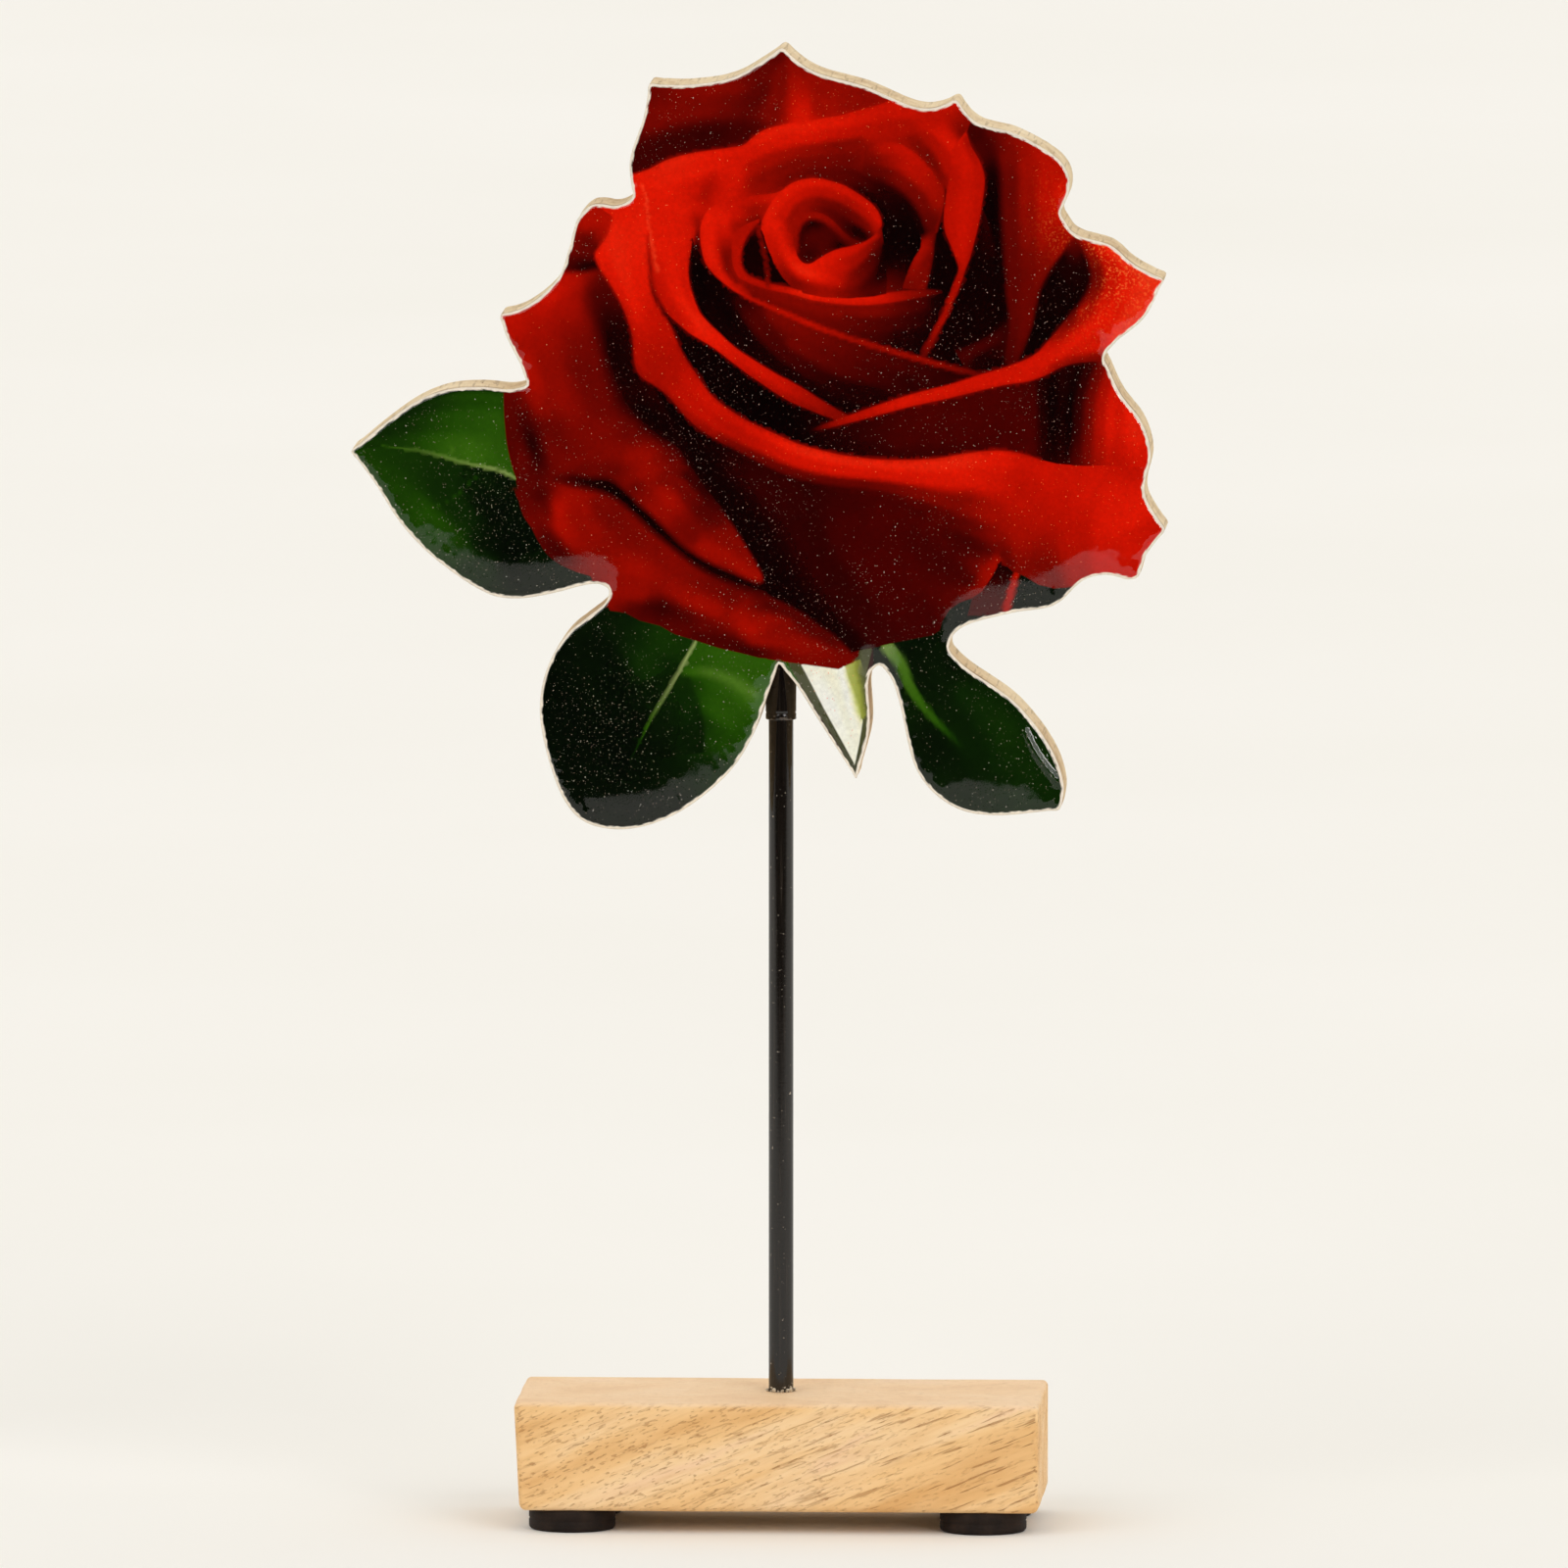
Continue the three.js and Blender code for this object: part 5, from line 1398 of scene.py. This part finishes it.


# Rod and socket: black-painted steel with a painted sheen and uneven gloss in streaks, chipped at the foot,
# in mm. Groove: rise, depth.
ROD_CHAMFER = 0.4
ROD_RINGS = 40
CHAMFER_MIDDLE = 0.3
SOCKET_BORE = 0.15
SOCKET_LIP = 0.12
SOCKET_GROOVE = ((1.1, 0), (1.25, 0.08), (1.5, 0.08), (1.65, 0), (1.9, 0), (2.3, 0))
SOCKET_TOP = 1
ROD_CHIPS = (0, 2.5)
SOCKET_CHIPS = (0.2, 1.6)


def make_rod(material):
    low, high = rod_low.z, rod_high.z
    chamfer = ROD_CHAMFER * MM
    middle = chamfer * CHAMFER_MIDDLE
    profile = [(0, low), (rod_radius - chamfer, low)]
    profile += [(rod_radius, z) for z in np.linspace(low + chamfer, high - chamfer, ROD_RINGS)]
    profile += [(rod_radius - middle, high - middle), (rod_radius - chamfer, high), (0, high)]
    return turned("steel_rod", profile, rod_axis, material)


def make_socket(material):
    low, high = socket_low.z, socket_high.z
    outer, inner = socket_radius, rod_radius + SOCKET_BORE * MM
    lip = SOCKET_LIP * MM
    middle = lip * CHAMFER_MIDDLE
    profile = [(inner + lip, low), (outer - lip, low), (outer - middle, low + middle), (outer, low + lip)]
    profile += [(outer - depth * MM, low + rise * MM) for rise, depth in SOCKET_GROOVE]
    profile += [(outer, high - SOCKET_TOP * MM), (outer, high - lip), (outer - lip, high)]
    profile += [(inner + lip, high), (inner, high - lip), (inner, low + lip)]
    return turned("socket_sleeve", profile, rod_axis, material)


def steel_finish(name, bare, foot, chipped):
    """Black paint. The bare metal shows in chips, mostly up to these heights above the foot."""
    material, tree = new_finish(name)
    at = tree.place()
    streak_and_sheen = tree.noise(at, (2600.0, 2600.0, 45.0), detail=3.0, rough=0.6)
    scuff = tree.noise(at, (900.0, 900.0, 1500.0), detail=4.0, rough=0.65)
    near = 1 - tree.between(tree.along(at, "Z"), *(foot + rise * MM for rise in chipped))
    chips = tree.between(scuff + near * 0.16, 0.66, 0.72)
    # Lighter streaks in the paint's colour: a painted sheen running up the rod and socket
    colour = tree.ramp(streak_and_sheen, [(0.3, light(13, 9, 6)), (0.55, light(23, 18, 14)), (0.75, light(44, 38, 32))])
    colour = tree.mix(chips, colour, bare)
    bump = tree.bump(scuff * 0.4 + streak_and_sheen * 0.3 - chips * 0.5, distance=0.05 * MM, strength=0.4)
    tree.solid(Base_Color=colour, Roughness=0.07 + 0.1 * streak_and_sheen, Normal=bump, Specular_IOR_Level=0.5)
    return material


# Feet: moulded rubber pads with a rounded edge and a shallow groove, as steps inwards and heights
FOOT_LOW = ((0.8, 0), (0.4, 0.12), (0.1, 0.45), (0, 0.8))
FOOT_GROOVE = ((0, 0.42), (0.12, 0.46), (0.12, 0.52), (0, 0.56))
FOOT_HIGH = ((0, 0.4), (0.15, 0.1), (0.5, 0))


def make_foot(node, material):
    low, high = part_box(node)
    radius = (high.x - low.x) / 2
    tall = high.z - low.z
    profile = [(0, low.z)]
    profile += [(radius - step * MM, low.z + rise * MM) for step, rise in FOOT_LOW]
    profile += [(radius - step * MM, low.z + tall * share) for step, share in FOOT_GROOVE]
    profile += [(radius - step * MM, high.z - drop * MM) for step, drop in FOOT_HIGH]
    profile.append((0, high.z))
    return turned(node + "_pad", profile, ((low.x + high.x) / 2, (low.y + high.y) / 2), material)


def rubber_finish():
    material, tree = new_finish("dark_rubber")
    at = tree.place()
    grain = tree.noise(at, 2600.0, detail=3.0, rough=0.6)
    bloom = tree.noise(at, 240.0, detail=3.0, rough=0.55)
    colour = tree.ramp(bloom, [(0.35, light(24, 15, 10)), (0.7, light(44, 31, 23))])
    bump = tree.bump(grain, distance=0.08 * MM, strength=0.5)
    tree.solid(Base_Color=colour, Roughness=0.6 + 0.25 * grain, Normal=bump, Specular_IOR_Level=0.22)
    return material


# Glue in small blobs round the foot of the rod: turn in degrees, then gap, half width and half height in mm
GLUE_BLOBS = ((-118, 0.2, 0.42, 0.7), (-82, 0.25, 0.36, 0.5), (-58, 0.3, 0.55, 0.6), (-40, 0.15, 0.4, 0.9),
              (25, 0.2, 0.5, 0.4), (100, 0.2, 0.6, 0.5), (190, 0.2, 0.5, 0.45))
GLUE_BULGE = 0.16
GLUE_WAVES = (2900, 2300)
GLUE_LIFT = 0.35


def make_glue(material):
    shapes = bmesh.new()
    for turn, gap, wide, tall in GLUE_BLOBS:
        angle = math.radians(turn)
        out = rod_radius + gap * MM
        rise = block_high.z + tall * GLUE_LIFT * MM
        centre = Vector((notch.x + math.cos(angle) * out, math.sin(angle) * out, rise))
        for v in bmesh.ops.create_icosphere(shapes, subdivisions=3, radius=MM)["verts"]:
            wave = math.sin(v.co.x * GLUE_WAVES[0] + turn) * math.sin(v.co.z * GLUE_WAVES[1] + turn)
            bulge = 1 + GLUE_BULGE * wave
            v.co = Vector((v.co.x * wide * bulge, v.co.y * wide * bulge, v.co.z * tall * bulge))
            v.co += centre
    mesh = bpy.data.meshes.new("glue_blobs")
    shapes.to_mesh(mesh)
    shapes.free()
    mesh.materials.append(material)
    mesh.polygons.foreach_set("use_smooth", [True] * len(mesh.polygons))
    return placed("glue_blobs", mesh)


def glue_finish():
    material, tree = new_finish("dried_glue")
    grain = tree.noise(tree.place(), 1500.0, detail=3.0)
    colour = tree.ramp(grain, [(0.3, light(96, 76, 54)), (0.55, light(196, 178, 150)),
                               (0.75, light(238, 228, 208))])
    tree.solid(Base_Color=colour, Roughness=0.35, Normal=tree.bump(grain, distance=0.1 * MM, strength=0.5))
    return material


# Pieces, with the body each rides on, its finish and the node it stands for
sheet = make_print(print_finish())
belongs(sheet, "rose_head", "print", "rose_print")
dome = make_resin(resin_finish())
belongs(dome, "rose_head", "resin", "resin_coat")
dust = make_dust(sheet, dust_finish())
belongs(dust, "rose_head", "resin")
board = make_plate(board_finish())
belongs(board, "rose_head", "plate_wood", "rose_plate")
block = make_block(block_finish())
belongs(block, "stand", "block_wood", "base_block")
rod = make_rod(steel_finish("rod_paint", shown(176, 164, 146), block_high.z, ROD_CHIPS))
belongs(rod, "stand", "black_steel", "rod")
sleeve = make_socket(steel_finish("sleeve_paint", shown(84, 74, 64), socket_low.z, SOCKET_CHIPS))
belongs(sleeve, "socket", "black_steel", "socket_tube")
rubber = rubber_finish()
for node in ("foot_front_left", "foot_front_right", "foot_rear_left", "foot_rear_right"):
    belongs(make_foot(node, rubber), "stand", "foot_rubber", node)
belongs(make_glue(glue_finish()), "stand", "block_wood")

# Stage: a pale table that ends a little in front of the rose, in a pale room that is dark behind the camera
FLOOR_FRONT = -0.7
FLOOR_REACH = 30.0
WINDOW_SIDES = (0.08, 0.16)
WINDOW_AHEAD = (0.0, 0.01)
WINDOW_FOOT = (-0.215, -0.2)
WINDOW_TOP = (0.8, 0.9)
ROOM_PALE = shown(248, 246, 241)
ROOM_BELOW = shown(251, 247, 239)
ROOM_BRIGHT = 0.96
WINDOW_DARK = 0.945
LAMP_COLOUR = (1.0, 0.99, 0.975)


def floor_finish():
    material, tree = new_finish("pale_table")
    cloud = tree.noise(tree.place(), 3.0, detail=3.0)
    colour = tree.ramp(cloud, [(0.3, light(244, 242, 237)), (0.7, light(246, 244, 240))])
    tree.solid(Base_Color=colour, Roughness=0.9, Specular_IOR_Level=0.0)
    return material


table_corners = [(-FLOOR_REACH, FLOOR_FRONT, 0), (FLOOR_REACH, FLOOR_FRONT, 0), (FLOOR_REACH, FLOOR_REACH, 0),
                 (-FLOOR_REACH, FLOOR_REACH, 0)]
table_top = new_piece("table", table_corners, [(0, 1, 2, 3)], floor_finish())


def room():
    """The room's light by direction: pale, but dark over a wide window behind the camera."""
    world = bpy.data.worlds.new("room")
    tree = emptied(world)
    x, y, z = tree.along(tree.add("ShaderNodeTexCoord", out="Generated"), ("X", "Y", "Z"))
    ahead = tree.between(y * y / (x * x + y * y), *WINDOW_SIDES) * tree.between(0 - y, *WINDOW_AHEAD)
    above = tree.between(z, *WINDOW_FOOT)
    dim = ahead * above * (1 - tree.between(z, *WINDOW_TOP))
    colour = tree.mix(1 - above, ROOM_PALE, ROOM_BELOW)
    strength = ROOM_BRIGHT - WINDOW_DARK * dim
    back = tree.add("ShaderNodeBackground", {}, {"Color": colour, "Strength": strength})
    tree.surface(back, "ShaderNodeOutputWorld")
    bpy.context.scene.world = world


def towards(azimuth, elevation):
    """A direction in degrees. Azimuth 0 is in front of the rose and 90 at its right."""
    a, e = math.radians(azimuth), math.radians(elevation)
    return Vector((math.sin(a) * math.cos(e), -math.cos(a) * math.cos(e), math.sin(e)))


def sun(name, azimuth, elevation, strength, spread):
    """A wide soft lamp far away."""
    lamp = bpy.data.lights.new(name, "SUN")
    lamp.energy = strength
    lamp.angle = math.radians(spread)
    lamp.color = LAMP_COLOUR
    placed(name, lamp).rotation_euler = towards(azimuth, elevation).to_track_quat("Z", "Y").to_euler()


room()
sun("right_lamp", azimuth=38, elevation=32, strength=0.98, spread=40)
sun("left_lamp", azimuth=-36, elevation=32, strength=1.03, spread=50)
sun("small_lamp", azimuth=29.7, elevation=13.9, strength=0.26, spread=10)

# Camera at the photograph's angle
LOOK_AT = Vector((0.00485, 0.0, 0.1498))
DISTANCE = 8.0
VIEW = towards(azimuth=3.0, elevation=6.2)
LENS = 911.0
LENS_SENSOR = 36.0
LENS_FAR = 100.0
lens = bpy.data.cameras.new("camera")
lens.lens = LENS
lens.sensor_width = LENS_SENSOR
lens.clip_end = LENS_FAR
camera = placed("camera", lens)
camera.location = LOOK_AT + VIEW * DISTANCE
camera.rotation_euler = VIEW.to_track_quat("Z", "Y").to_euler()
bpy.context.scene.camera = camera
bpy.context.scene.view_settings.view_transform = "Standard"
